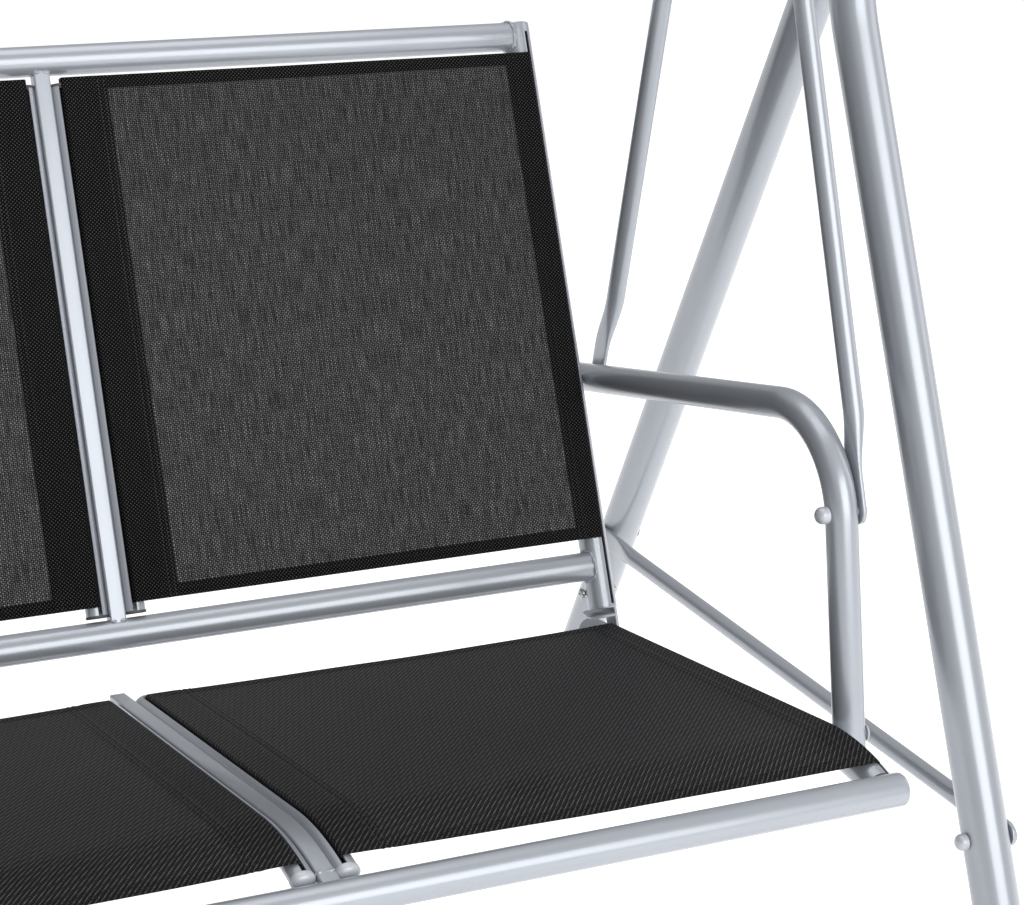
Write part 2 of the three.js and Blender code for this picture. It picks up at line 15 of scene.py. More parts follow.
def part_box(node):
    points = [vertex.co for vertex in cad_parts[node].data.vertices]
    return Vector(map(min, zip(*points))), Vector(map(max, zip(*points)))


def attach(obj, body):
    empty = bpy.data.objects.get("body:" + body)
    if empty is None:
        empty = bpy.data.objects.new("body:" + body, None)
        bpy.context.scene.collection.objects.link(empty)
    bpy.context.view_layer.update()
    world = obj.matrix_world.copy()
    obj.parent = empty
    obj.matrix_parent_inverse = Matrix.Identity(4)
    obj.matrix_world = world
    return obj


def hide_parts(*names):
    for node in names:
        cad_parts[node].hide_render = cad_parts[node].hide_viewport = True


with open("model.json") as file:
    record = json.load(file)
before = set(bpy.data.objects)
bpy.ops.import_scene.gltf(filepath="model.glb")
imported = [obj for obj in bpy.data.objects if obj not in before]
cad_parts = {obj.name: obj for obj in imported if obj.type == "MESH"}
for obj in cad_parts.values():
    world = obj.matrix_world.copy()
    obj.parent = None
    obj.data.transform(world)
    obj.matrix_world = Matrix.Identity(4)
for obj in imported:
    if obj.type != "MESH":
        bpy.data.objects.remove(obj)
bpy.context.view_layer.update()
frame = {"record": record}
rng = np.random.default_rng(7)

MM = 0.001


def centre(node):
    """Middle of a CAD node's box, in millimetres."""
    low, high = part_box(node)
    return (np.array(low) + np.array(high)) / 2 / MM


def top(node):
    return np.array(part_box(node)[1]) / MM


def unit(v):
    v = np.asarray(v, float)
    return v / np.linalg.norm(v)


ALONG_X = np.array([1.0, 0, 0])


# ---- sizes ----
GAP = 0.3

FRONT_LEG_X = centre("front_leg_right")[0]
REAR_LEG_X = centre("rear_leg_right")[0]
LEG_R = 19.0
BRACE_Z = 381.0
LEG_HALF_SPREAD = 346.5
LEG_TILT = math.radians(25.6)
LEG_BEND_Z = 973.0
LEG_BEND_R = 250.0
LEG_START_Z = 12.2
LEG_TOP_Z = top("front_leg_right")[2]
BRACE_R = 8.0
FOOT_R = 21.8
FOOT_H = 46.0

BEAM_R = 19.0
BEAM_Z = 1420.0
BEAM_END_X = top("top_beam")[0]
PIVOT_Z = frame["record"]["behaviour"]["joints"][0]["pos_m"][2] / MM
HANGER_X = 713.8
LUG_INNER = 5.2
LUG_T = 4.0
LUG_R = 14.0
LUG_RISE = 22.0

HANGER_R = 8.1
FLAT_HALF_T = 2.1
FLAT_HALF_W = 10.5
FLAT_RUN = 28.0
FLAT_TAPER = 50.0
ARM_X = centre("armrest_right")[0]
ARM_R = 12.7
ARM_BEND_R = 82.0
ARM_REAR = (168.0, 622.5)
ARM_CORNER = (-271.9, 732.8)
POST_FOOT = (-331.6, 459.0)
FRONT_HANGER_BOLT = (-288.9, 655.0)
REAR_HANGER_BOLT = (146.5, 627.9)
POST_BOLT = (-326.2, 484.8)

RAIL_X = 666.6
PITCH = 442.6
DIVISION_X = RAIL_X - PITCH
TUBE_R = 12.7
OUTER_R = 12.7
MID_RU = 9.0
MID_RV = 7.0
RAIL_WALL = 1.6
LIP = 0.45
STRUT_HALF_W = 6.8
MID_DX = STRUT_HALF_W + GAP + MID_RU
SLOT_W = 3.2
CAP_DEPTH = 2.5
PLUG_T = 2.4
OUTER_SLOT = 5.0
MID_SLOT = -1.5

FRONT_TUBE = centre("seat_front_tube")[1:]
REAR_TUBE = centre("seat_rear_tube")[1:]
LOWER_TUBE = centre("back_lower_tube")[1:]
TOP_TUBE = centre("back_top_tube")[1:]
FRONT_TUBE_END = top("seat_front_tube")[0]

SEAT_LINES = {
    "outer": ((62.0, 429.6), (-330.0, 498.6), 200.0),
    "mid": ((62.0, 430.1), (-322.0, 503.1), 240.0),
}
SEAT_FRONT_Y = -411.0
SEAT_MID_REAR_Y = 32.0
SEAT_CLOTH_REAR_Y = 24.0
SEAT_CLOTH_FRONT_Y = -400.0
BACK_TOP_LINE = MID_RU
BACK_DROP = BACK_TOP_LINE - OUTER_R
BACK_RAIL_FOOT = -39.5
BACK_RAIL_HEAD = 12.0
BACK_CLOTH_LOW = 24.0
BACK_CLOTH_TOP = 17.0
BACK_MID_LOW = 15.0
BACK_MID_TOP = 21.0

PLATE_T = 3.0
PLATE_TOP = -14.0
PLATE_FOOT = -79.0
PLATE_FRONT = -8.0
PLATE_REAR = -27.0
PLATE_CORNER = 7.0
LEDGE_Y = (37.0, 52.0)
LEDGE_Z = (438.0, 441.0)

SHANK_R = 4.0
HEAD_R = 7.3
HEAD_RISE = 3.6
NUT_R = 6.8
NUT_DOME = 5.4
NUT_LENGTH = 9.0
HANGER_NUT_LENGTH = 10.0
BEAM_BOLT_SHORT = 4.0

SCREW_ALONG = -23.0
SCREW_OUT = -13.0
SCREW_R = 4.8
SCREW_RISE = 3.0
SCREW_SHANK_R = 2.4

# welds: radius of a bead, half sizes of a lump, and how far a ring is drawn in from its seam
WELD_R = 1.5
WELD_LUMP = (3.4, 2.0, 1.7)
WELD_INSET = 0.4
PHASE = 6.28

AROUND = 56

# cloth threads, in metres, and how often the slubs repeat per metre, across and along
THREAD_ACROSS = 0.0017
THREAD_ALONG = 0.0016
RIB_PITCH = 0.0042
RIB_SLOPE = 0.8
SLUB_UP = (760, 42, 1)
SLUB_OVER = (60, 640, 1)


# ---- materials ----
def put(tree, socket, value):
    """Sets a socket's value, or links it if the value is another node's output."""
    if isinstance(value, bpy.types.NodeSocket):
        tree.links.new(value, socket)
    else:
        socket.default_value = value


def add_node(tree, kind, inputs=(), **settings):
    node = tree.nodes.new("ShaderNode" + kind)
    for key, value in settings.items():
        setattr(node, key, value)
    for key, value in dict(inputs).items():
        put(tree, node.inputs[key], value)
    return node


class Look:
    """A node material under construction."""

    def __init__(self, name):
        self.material = bpy.data.materials.new(name)
        self.material.use_nodes = True
        self.tree = self.material.node_tree
        self.shader = self.tree.nodes["Principled BSDF"]

    def add(self, kind, inputs=(), **settings):
        return add_node(self.tree, kind, inputs, **settings)

    def math(self, operation, a, b=0.0, clamp=False):
        return self.add("Math", {0: a, 1: b}, operation=operation, use_clamp=clamp).outputs[0]

    def scaled(self, value, low, high):
        """A 0 to 1 value stretched to low..high."""
        return self.add("MapRange", {"Value": value, "To Min": low, "To Max": high}).outputs["Result"]

    def noise(self, vector, scale, detail=2.0):
        return self.add("TexNoise", {"Vector": vector, "Scale": scale, "Detail": detail}).outputs["Fac"]

    def stretched_noise(self, vector, scales):
        """Noise drawn out along the axes by the three scales."""
        return self.noise(self.add("Mapping", {"Vector": vector, "Scale": scales}).outputs[0], 1.0)

    def position(self):
        return self.add("TexCoord").outputs["Object"]

    def set(self, **values):
        for key, value in values.items():
            put(self.tree, self.shader.inputs[key.replace("_", " ")], value)

    def bump(self, height, strength, distance):
        node = self.add("Bump", {"Height": height, "Strength": strength, "Distance": distance})
        self.set(Normal=node.outputs["Normal"])


def mixed(look, factor, a, b):
    return look.add("Mix", {0: factor, 6: a, 7: b}, data_type="RGBA").outputs[2]


def silver_paint():
    """Silver powder coat: fine flake, slight orange peel, cloudy gloss."""
    look = Look("silver_powder_coat")
    at = look.position()
    flake = look.noise(at, 2600.0, 1.0)
    cloud = look.noise(at, 14.0, 3.0)
    peel = look.noise(at, 420.0)
    tone = look.math("ADD", look.scaled(flake, -0.10, 0.10), look.scaled(cloud, 0.42, 0.58), clamp=True)
    look.set(
        Base_Color=mixed(look, tone, (0.32, 0.342, 0.375, 1), (0.44, 0.467, 0.51, 1)),
        Roughness=look.scaled(cloud, 0.27, 0.35),
        Metallic=0.42,
        Coat_Weight=0.35,
        Coat_Roughness=0.07,
    )
    look.bump(peel, 0.1, 0.0003)
    return look.material


def bright_zinc():
    """Zinc-plated screw steel with faint turning marks."""
    look = Look("bright_zinc")
    at = look.position()
    streak = look.stretched_noise(at, (40, 900, 900))
    cloud = look.noise(at, 90.0, 3.0)
    look.set(
        Base_Color=mixed(look, cloud, (0.42, 0.43, 0.44, 1), (0.66, 0.67, 0.68, 1)),
        Roughness=look.scaled(streak, 0.2, 0.38),
        Metallic=0.9,
    )
    look.bump(streak, 0.08, 0.0002)
    return look.material


def cap_grey():
    """Pale grey moulded nut covers and end plugs."""
    look = Look("pale_grey_caps")
    at = look.position()
    grain = look.noise(at, 900.0)
    cloud = look.noise(at, 60.0)
    look.set(
        Base_Color=mixed(look, cloud, (0.42, 0.44, 0.47, 1), (0.53, 0.55, 0.58, 1)),
        Roughness=look.scaled(grain, 0.28, 0.42),
        Metallic=0.2,
    )
    look.bump(grain, 0.1, 0.0002)
    return look.material


def dark_plastic(name, low, high):
    look = Look(name)
    at = look.position()
    grain = look.noise(at, 700.0, 3.0)
    cloud = look.noise(at, 30.0)
    look.set(
        Base_Color=mixed(look, cloud, (low, low, low * 1.05, 1), (high, high, high * 1.05, 1)),
        Roughness=look.scaled(grain, 0.42, 0.62),
    )
    look.bump(grain, 0.25, 0.0003)
    return look.material


def woven(name, low, high, open_share, rib_share):
    """Coated mesh cloth. The "cloth" UV map is in metres, across and along the cloth.

    low is the grey of the threads, high the grey of a painted highlight on the weave's crests, open_share
    the light that passes between them, and rib_share how far a diagonal rib takes over from the staggered
    weave.
    """
    look = Look(name)
    cloth = look.add("UVMap", uv_map="cloth").outputs[0]
    axes = look.add("SeparateXYZ", {0: cloth})
    warp = look.math("SINE", look.math("MULTIPLY", axes.outputs[0], math.pi / THREAD_ACROSS))
    weft = look.math("SINE", look.math("MULTIPLY", axes.outputs[1], math.pi / THREAD_ALONG))
    stagger = look.math("MULTIPLY", warp, weft)
    slant = look.math("ADD", axes.outputs[0], look.math("MULTIPLY", axes.outputs[1], RIB_SLOPE))
    rib = look.math("SINE", look.math("MULTIPLY", slant, 2 * math.pi / RIB_PITCH))
    relief = look.math(
        "ADD", look.math("MULTIPLY", stagger, 1 - rib_share), look.math("MULTIPLY", rib, rib_share)
    )

    slub_up = look.math("MULTIPLY", look.stretched_noise(cloth, SLUB_UP), 0.72)
    slub_over = look.math("MULTIPLY", look.stretched_noise(cloth, SLUB_OVER), 0.28)
    slub = look.math("ADD", slub_up, slub_over)
    patch = look.noise(cloth, 9.0, 3.0)
    # painted highlight: the crests of the weave relief are coloured lighter, patchy with the slubs
    crest_highlight = look.add(
        "MapRange", {"Value": relief, "From Min": 0.4, "From Max": 0.8}, interpolation_type="SMOOTHSTEP"
    ).outputs["Result"]
    uneven = look.math("ADD", look.scaled(slub, -0.2, 1.4), look.math("MULTIPLY", patch, 0.3))
    # share of painted highlight in the base colour: the crest highlight made uneven by slubs and patches
    painted_highlight = look.math("MULTIPLY", crest_highlight, uneven, clamp=True)
    look.set(
        Base_Color=mixed(look, painted_highlight, (low, low, low * 1.04, 1), (high, high, high * 1.04, 1)),
        Roughness=look.scaled(slub, 0.45, 0.65),
        Specular_IOR_Level=0.06,
    )
    if open_share > 0:
        # the sheet has two faces, so light passes twice
        gap = look.add("MapRange", {"Value": stagger, "From Min": 0.25, "From Max": -0.75}).outputs["Result"]
        spread = {"From Min": 0.2, "From Max": 0.8, "To Min": 0.1 * open_share, "To Max": open_share}
        wide = look.add("MapRange", {"Value": slub, **spread}).outputs["Result"]
        look.set(Alpha=look.math("SUBTRACT", 1.0, look.math("MULTIPLY", gap, wide), clamp=True))
    look.bump(relief, 0.5, 0.0005)
    return look.material


def thread_black():
    look = Look("black_thread")
    at = look.position()
    twist = look.noise(at, 1800.0)
    look.set(
        Base_Color=mixed(look, twist, (0.006, 0.006, 0.007, 1), (0.03, 0.03, 0.032, 1)),
        Roughness=look.scaled(twist, 0.5, 0.7),
    )
    look.bump(twist, 0.3, 0.0002)
    return look.material


SILVER = silver_paint()
ZINC = bright_zinc()
CAP = cap_grey()
PLUG = dark_plastic("dark_grey_plug", 0.05, 0.09)
FOOT = dark_plastic("black_foot_plastic", 0.012, 0.03)
# in each cloth the first grey is the threads' own and the second is a painted highlight on the weave crests
BACK_FIELD = woven("back_mesh", 0.001, 0.125, 0.68, 0.0)
BACK_HEM = woven("back_hem", 0.0006, 0.085, 0, 0.0)
SEAT_FIELD = woven("seat_mesh", 0.012, 0.12, 0.25, 0.72)
SEAT_HEM = woven("seat_hem", 0.009, 0.10, 0, 0.72)
THREAD = thread_black()


# ---- mesh code ----
def circle(r, n=AROUND):
    a = 2 * math.pi * (np.arange(n) + 0.5) / n
    return np.stack([r * np.cos(a), r * np.sin(a)], 1)


def skin(rings, capped=True):
    """Closed shell over rings of equal length: (points, faces)."""
    n = len(rings[0])
    faces = []
    for k in range(len(rings) - 1):
        for i in range(n):
            j = (i + 1) % n
            faces.append((k * n + i, k * n + j, (k + 1) * n + j, (k + 1) * n + i))
    if capped:
        last = (len(rings) - 1) * n
        faces.append(tuple(range(n))[::-1])
        faces.append(tuple(range(last, last + n)))
    return np.concatenate(rings), faces


def outward(shell):
    """Turns the faces over if they look inwards."""
    points, faces = shell
    volume = 0.0
    for f in faces:
        a = points[f[0]]
        for i in range(1, len(f) - 1):
            volume += np.dot(a, np.cross(points[f[i]], points[f[i + 1]]))
    if volume < 0:
        faces = [f[::-1] for f in faces]
    return points, faces


def sweep(profile, stations):
    """Profile (u, v) carried along stations (point, u axis, v axis, scale)."""
    rings = [
        p + k * (profile[:, :1] * np.asarray(u) + profile[:, 1:] * np.asarray(v)) for p, u, v, k in stations
    ]
    return outward(skin(rings))


def turned(p, direction, pairs, n=48):
    """Turned piece along a direction from p: pairs of distance and radius."""
    w = unit(direction)
    u = unit(np.cross((0, 0, 1), w) if abs(w[2]) < 0.9 else (1, 0, 0))
    v = np.cross(w, u)
    return sweep(circle(1.0, n), [(np.asarray(p) + w * d, u, v, r) for d, r in pairs])


def mirrored(shell):
    points, faces = shell
    return points * (-1, 1, 1), [f[::-1] for f in faces]


def joined(shells):
    """Points and faces of several shells in one mesh."""
    faces = []
    start = 0
    for p, f in shells:
        faces += [tuple(i + start for i in face) for face in f]
        start += len(p)
    return np.concatenate([p for p, _ in shells]), faces


def linked(name, data):
    obj = bpy.data.objects.new(name, data)
    bpy.context.scene.collection.objects.link(obj)
    return obj


def added(name, points, faces, looks, sharp, body, slot):
    """Blender object from points in millimetres, riding on a CAD body."""
    mesh = bpy.data.meshes.new(name)
    mesh.from_pydata((points * MM).tolist(), [], faces)
    mesh.shade_smooth()
    mesh.set_sharp_from_angle(angle=math.radians(sharp))
    for look in looks:
        mesh.materials.append(look)
    obj = linked(name, mesh)
    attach(obj, body)
    return obj


def piece(name, shells, look, body, slot, nodes=()):
    """One object from closed shells, in place of CAD nodes if any are named."""
    obj = added(name, *joined(shells), [look], 32.0, body, slot)
    if nodes:
        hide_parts(*nodes)


def both(name, shells, look, body, slot, node=True):
    """A piece on the right and its mirror image on the left."""
    for side, made in (("right", shells), ("left", [mirrored(s) for s in shells])):
        nodes = [f"{name}_{side}"] if node else []
        piece(f"look_{name}_{side}", made, look, body, slot, nodes)


def painted(name, shells, body="swing"):
    both(name, shells, SILVER, body, "frame_paint")


def bent(x, corners, step=4.0):
    """Stations of a path in the plane X = x. corners holds (y, z, bend radius)."""
    pts = [np.array(c[:2], float) for c in corners]
    out = []

    def put(q, d):
        out.append((np.array([x, q[0], q[1]]), (1, 0, 0), np.array([0, -d[1], d[0]]), 1.0))

    for i, q in enumerate(pts):
        before = unit(q - pts[i - 1]) if i > 0 else None
        after = unit(pts[i + 1] - q) if i + 1 < len(pts) else None
        if before is None or after is None:
            put(q, after if before is None else before)
            continue
        r = corners[i][2]
        turn = math.atan2(before[0] * after[1] - before[1] * after[0], before @ after)
        a = q - before * r * math.tan(abs(turn) / 2)
        s = math.copysign(1, turn)
        mid = a + np.array([-before[1], before[0]]) * s * r
        n = max(3, math.ceil(abs(math.degrees(turn)) / step))
        for k in range(n + 1):
            c, d = math.cos(turn * k / n), math.sin(turn * k / n)
            spin = np.array([[c, -d], [d, c]])
            put(mid + spin @ (a - mid), spin @ before)
    return out


def crosswise(half, y, z):
    """End stations of a straight tube along X, reaching half to each side."""
    return [(np.array([s * half, y, z]), (0, 1, 0), (0, 0, 1), 1.0) for s in (-1, 1)]


def eased(stations, r, ease, steps=5):
    """Rounds both ends of a bar of radius r."""

    def end(at, towards):
        w = unit(towards[0] - at[0])
        out = []
        for k in range(steps + 1):
            q = math.pi / 2 * k / steps
            scale = (r - ease + ease * math.sin(q)) / r
            out.append((at[0] + w * ease * (1 - math.cos(q)), at[1], at[2], scale))
        return out

    return end(stations[0], stations[1]) + stations[1:-1] + end(stations[-1], stations[-2])[::-1]


def oval(ru, rv, n=40):
    return circle(1.0, n) * (ru, rv)


def weld_ring(points, r=WELD_R, n=10, ripple=0.6):
    """Bead of weld metal round a closed line of points."""
    points = np.asarray(points)
    count = len(points)
    middle = points.mean(0)
    phase = rng.uniform(0, 2 * math.pi, 3)
    rings = []
    for i in range(count):
        ahead = unit(points[(i + 1) % count] - points[i - 1])
        side = unit(points[i] - middle - ahead * ((points[i] - middle) @ ahead))
        other = np.cross(ahead, side)
        a = 2 * math.pi * i / count
        wave = math.sin(9 * a + phase[0]) + 0.6 * math.sin(17 * a + phase[1])
        wave += 0.5 * math.sin(4 * a + phase[2])
        k = r * (1 + ripple * wave / 2)
        rings.append(points[i] + circle(k, n) @ np.array([side, other]))
    made, faces = skin(rings, capped=False)
    last = (count - 1) * n
    for i in range(n):
        j = (i + 1) % n
        faces.append((last + i, last + j, j, i))
    return outward((made, faces))


def blob(p, u, v, w, ru, rv, rw, seed):
    """Lump of weld metal: an uneven half-buried ellipsoid."""
    phase = np.random.default_rng(seed).uniform(0, PHASE, 2)
    rings = []
    for k in range(1, 10):
        q = math.pi * k / 10
        a = 2 * math.pi * (np.arange(20) + 0.5) / 20
        k_r = 1 + 0.12 * np.sin(3 * a + phase[0] + 2 * q) + 0.08 * np.sin(7 * a + phase[1] - 3 * q)
        ring = np.stack([np.cos(a) * math.sin(q) * k_r * ru, np.sin(a) * math.sin(q) * k_r * rv], 1)
        rings.append(p + ring @ np.array([u, v]) + np.asarray(w) * rw * math.cos(q))
    return outward(skin(rings))


def bead(line, r=WELD_R, n=10):
    """Open run of weld metal along a line of points."""
    line = np.asarray(line)
    phase = rng.uniform(0, PHASE, 2)
    rings = []
    for i, p in enumerate(line):
        ahead = unit(line[min(i + 1, len(line) - 1)] - line[max(i - 1, 0)])
        side = unit(np.cross(ahead, (0.31, 0.52, 0.79)))
        other = np.cross(ahead, side)
        at_end = i in (0, len(line) - 1)
        uneven = 1 + 0.14 * math.sin(2.1 * i + phase[0]) + 0.1 * math.sin(3.7 * i + phase[1])
        rings.append(p + circle(r * (0.45 if at_end else uneven), n) @ np.array([side, other]))
    return outward(skin(rings))


# ---- side frames ----
def leg_y(z):
    """Distance from the middle of the swing to a leg's sloping axis at height z."""
    return LEG_HALF_SPREAD - (z - BRACE_Z) * math.tan(LEG_TILT)


BEND_CORNER_Z = LEG_BEND_Z + LEG_BEND_R * math.tan(LEG_TILT / 2) * math.cos(LEG_TILT)
LEG_TOP_Y = leg_y(BEND_CORNER_Z)


def leg(x, side):
    foot_end = (side * leg_y(LEG_START_Z), LEG_START_Z)
    corner = (side * LEG_TOP_Y, BEND_CORNER_Z, LEG_BEND_R)
    path = bent(x, [foot_end, corner, (side * LEG_TOP_Y, LEG_TOP_Z)], 2.5)
    return [sweep(circle(LEG_R, 72), eased(path, LEG_R, 3.2))]


def foot(x, side):
    """Sleeve foot round the leg, its base cut level with the ground."""
    d = np.array([0, -side * math.sin(LEG_TILT), math.cos(LEG_TILT)])
    base = np.array([x, side * leg_y(0), 0.0])
    u = ALONG_X
    v = np.cross(d, u)

    def level(r, z):
        ring = base + circle(r, 72) @ np.array([u, v])
        return ring + ((z - ring[:, 2]) / d[2])[:, None] * d

    def square(r, s):
        return base + d * s + circle(r, 72) @ np.array([u, v])

    lip = FOOT_H - 1.2
    groove_low, groove_high = lip - 7, lip - 4
    rings = [level(FOOT_R - inset, z) for inset, z in ((1.2, 0), (0.3, 0.4), (0, 1.4))]
    for inset, s in (
        (0, lip - 12), (0, groove_low), (0.7, groove_low + 0.6), (0.7, groove_high - 0.6), (0, groove_high),
        (0, lip), (0.5, FOOT_H - 0.3), (1.3, FOOT_H),
    ):
        rings.append(square(FOOT_R - inset, s))
    rings += [square(LEG_R + GAP, s) for s in (FOOT_H - 0.4, LEG_START_Z + 0.4)]
    return [outward(skin(rings))]


for tag, leg_x, side in (("front", FRONT_LEG_X, -1), ("rear", REAR_LEG_X, 1)):
    painted(f"{tag}_leg", leg(leg_x, side), "frame")
    both(f"{tag}_foot_cap", foot(leg_x, side), FOOT, "frame", "foot_plastic")


# ---- bars with flattened ends ----
def smooth(x):
    x = min(max(x, 0.0), 1.0)
    return x * x * (3 - 2 * x)


def flat_ended(a, b, r, shift_a, shift_b, n=48):
    """Round bar between two bolt centres, pressed flat at each end and shifted sideways there."""
    a, b = np.asarray(a, float), np.asarray(b, float)
    length = np.linalg.norm(b - a)
    w = unit(b - a)
    q = unit(np.cross(w, (1, 0, 0)))
    tip = FLAT_HALF_W

    def shape(s):
        """Width share and roundness at distance s from a bolt centre."""
        share = 1.0 if s > 0 else math.sqrt(max(1 - (s / tip) ** 2, 0.02))
        return share, smooth((s - FLAT_RUN) / FLAT_TAPER)

    places = [-tip * math.cos(math.pi / 2 * i / 9) for i in range(10)]
    places += [6, 16, 26] + [FLAT_RUN + 3.2 * i for i in range(17)]
    rows = [(s, *shape(s), shift_a) for s in places]
    rows += [(length - s, *shape(s), shift_b) for s in places[::-1]]
    a_ring = circle(1.0, n)
    rings = []
    for s, k, m, off in rows:
        half_w = (FLAT_HALF_W * (1 - m) + r * m) * k
        half_t = FLAT_HALF_T * (1 - m) + r * m
        squared = np.sign(a_ring) * np.abs(a_ring) ** (0.35 + 0.65 * m)
        at = a + w * s + ALONG_X * off * (1 - m)
        rings.append(at + squared[:, :1] * half_w * q + squared[:, 1:] * half_t * ALONG_X)
    return outward(skin(rings))


FRONT_BRACE_X = FRONT_LEG_X + LEG_R + GAP + FLAT_HALF_T
REAR_BRACE_X = REAR_LEG_X - LEG_R - GAP - FLAT_HALF_T
BRACE_FRONT = (FRONT_BRACE_X, -LEG_HALF_SPREAD, BRACE_Z)
BRACE_REAR = (REAR_BRACE_X, LEG_HALF_SPREAD, BRACE_Z)
painted("side_brace", [flat_ended(BRACE_FRONT, BRACE_REAR, BRACE_R, 0, 0)], "frame")


# ---- bolts, nuts and screws ----
def head_and_shank(p, direction, length):
    """Domed head before p and a shank after it."""
    head = [(-HEAD_RISE * math.cos(q), HEAD_R * math.sin(q)) for q in np.linspace(0.12, math.pi / 2, 10)]
    return turned(p, direction, head + [(0.0, HEAD_R - 0.3), (0.02, SHANK_R), (length, SHANK_R)])


def bolt(name, p, grip, body, nut=NUT_LENGTH):
    """Bolt pointing inwards, with a round nut cover beyond the clamped length."""
    inwards = (-1, 0, 0)
    straight = grip + nut - NUT_DOME
    cover = [(grip, NUT_R - 0.5), (grip + 0.4, NUT_R), (straight, NUT_R)]
    cover += [
        (straight + NUT_DOME * math.sin(q), NUT_R * math.cos(q)) for q in np.linspace(0.15, 1.48, 9)
    ]
    both(name, [head_and_shank(p, inwards, grip), turned(p, inwards, cover)], CAP, body, "fastener")


BRACE_GRIP = 2 * LEG_R + 2 * FLAT_HALF_T + 3 * GAP
bolt("front_brace_bolt", (FRONT_BRACE_X + FLAT_HALF_T + GAP, *BRACE_FRONT[1:]), BRACE_GRIP, "frame")
bolt("rear_brace_bolt", (REAR_LEG_X + LEG_R + GAP, *BRACE_REAR[1:]), BRACE_GRIP, "frame")

LUG_SHIFT = LUG_INNER + LUG_T / 2
PIVOT_START = LUG_SHIFT + LUG_T / 2 + GAP
bolt("pivot_bolt", (HANGER_X + PIVOT_START, 0, PIVOT_Z), 2 * PIVOT_START, "frame")

HANGER_GRIP = 2 * ARM_R + 2 * FLAT_HALF_T + 3 * GAP
HANGER_BOLT_X = ARM_X + ARM_R + 2 * FLAT_HALF_T + 2 * GAP
for tag, at in (("front", FRONT_HANGER_BOLT), ("rear", REAR_HANGER_BOLT)):
    bolt(f"{tag}_hanger_bolt", (HANGER_BOLT_X, *at), HANGER_GRIP, "swing", HANGER_NUT_LENGTH)
POST_GRIP = ARM_X + ARM_R + 2 * GAP - (RAIL_X - OUTER_R)
bolt("post_bolt", (ARM_X + ARM_R + GAP, *POST_BOLT), POST_GRIP, "swing")


def beam_bolt(x, side):
    start = LEG_TOP_Y + LEG_R + GAP
    return [head_and_shank((x, side * start, BEAM_Z), (0, -side, 0), start - BEAM_BOLT_SHORT)]


both("front_beam_bolt", beam_bolt(FRONT_LEG_X, -1), ZINC, "frame", "fastener")
both("rear_beam_bolt", beam_bolt(REAR_LEG_X, 1), ZINC, "frame", "fastener")


# ---- top beam ----
def lug(x):
    """Hanging plate with a round foot and eased edges."""
    n = 24
    outline = [(LUG_R, LUG_RISE), (LUG_R, 0.0)]
    outline += [(LUG_R * math.cos(a), LUG_R * math.sin(a)) for a in -math.pi * np.arange(1, n + 1) / n]
    outline += [(-LUG_R, LUG_RISE)]
    outline = np.array(outline)
    middle = np.array([0.0, LUG_RISE / 2])
    half = LUG_T / 2
    near_side = [(-half, 0.6), (-half + 0.2, 0.2), (-half + 0.6, 0)]
    far_side = [(-dx, inset) for dx, inset in near_side[::-1]]
    rings = []
    for dx, inset in near_side + far_side:
        ring = middle + (outline - middle) * (1 - inset / LUG_R)
        rings.append(np.stack([np.full(len(ring), x + dx), ring[:, 0], PIVOT_Z + ring[:, 1]], 1))
    return outward(skin(rings))


def beam_shells():
    shells = [sweep(circle(BEAM_R, 72), eased(crosswise(BEAM_END_X, 0, BEAM_Z), BEAM_R, 2.4))]
    for side in (-1, 1):
        for shift in (-LUG_SHIFT, LUG_SHIFT):
            x = side * HANGER_X + shift
            shells.append(lug(x))
            for out in (-1, 1):
                a = np.radians(np.linspace(222, 318, 18))
                beside = np.full(len(a), x + out * LUG_T / 2)
                line = np.stack([beside, BEAM_R * np.cos(a), BEAM_Z + BEAM_R * np.sin(a)], 1)
                shells.append(bead(line))
    return shells


piece("look_top_beam", beam_shells(), SILVER, "frame", "frame_paint", ["top_beam"])


# ---- hangers and armrests ----
FLAT_AT_ARM = ARM_X + ARM_R + GAP + FLAT_HALF_T - HANGER_X
FLAT_AT_PIVOT = FLAT_HALF_T + GAP
for tag, at, top_shift in (
    ("front", FRONT_HANGER_BOLT, -FLAT_AT_PIVOT),
    ("rear", REAR_HANGER_BOLT, FLAT_AT_PIVOT),
):
    bar = flat_ended((HANGER_X, 0, PIVOT_Z), (HANGER_X, *at), HANGER_R, top_shift, FLAT_AT_ARM)
    painted(f"{tag}_hanger", [bar])

arm_path = bent(ARM_X, [ARM_REAR, (*ARM_CORNER, ARM_BEND_R), POST_FOOT], 3.0)
painted("armrest", [sweep(circle(ARM_R), eased(arm_path, ARM_R, 2.0))])


# ---- rails ----
def rail_section(ru, rv, slot):
    """Oval rail section, its top at v = 0, with a round-lipped slot over u = slot."""
    half = SLOT_W / 2

    def arc(wall, d0, d1, n):
        a0 = math.acos((slot + d0) / (ru - wall))
        a1 = math.acos((slot + d1) / (ru - wall))
        if d0 < 0:
            a1 += 2 * math.pi
        else:
            a0 += 2 * math.pi
        a = np.linspace(a0, a1, n + 1)
        return np.stack([(ru - wall) * np.cos(a), (rv - wall) * np.sin(a) - rv], 1)

    def lip(side, height):
        return [slot + side * (half + 0.12), height - 0.18]

    outer = arc(0, -half - LIP, half + LIP, 44)
    inner = arc(RAIL_WALL, half, -half, 36)
    return np.concatenate([outer, [lip(1, outer[-1][1])], inner, [lip(-1, outer[0][1])]])


def flipped(profile):
    return (profile * (-1, 1))[::-1]


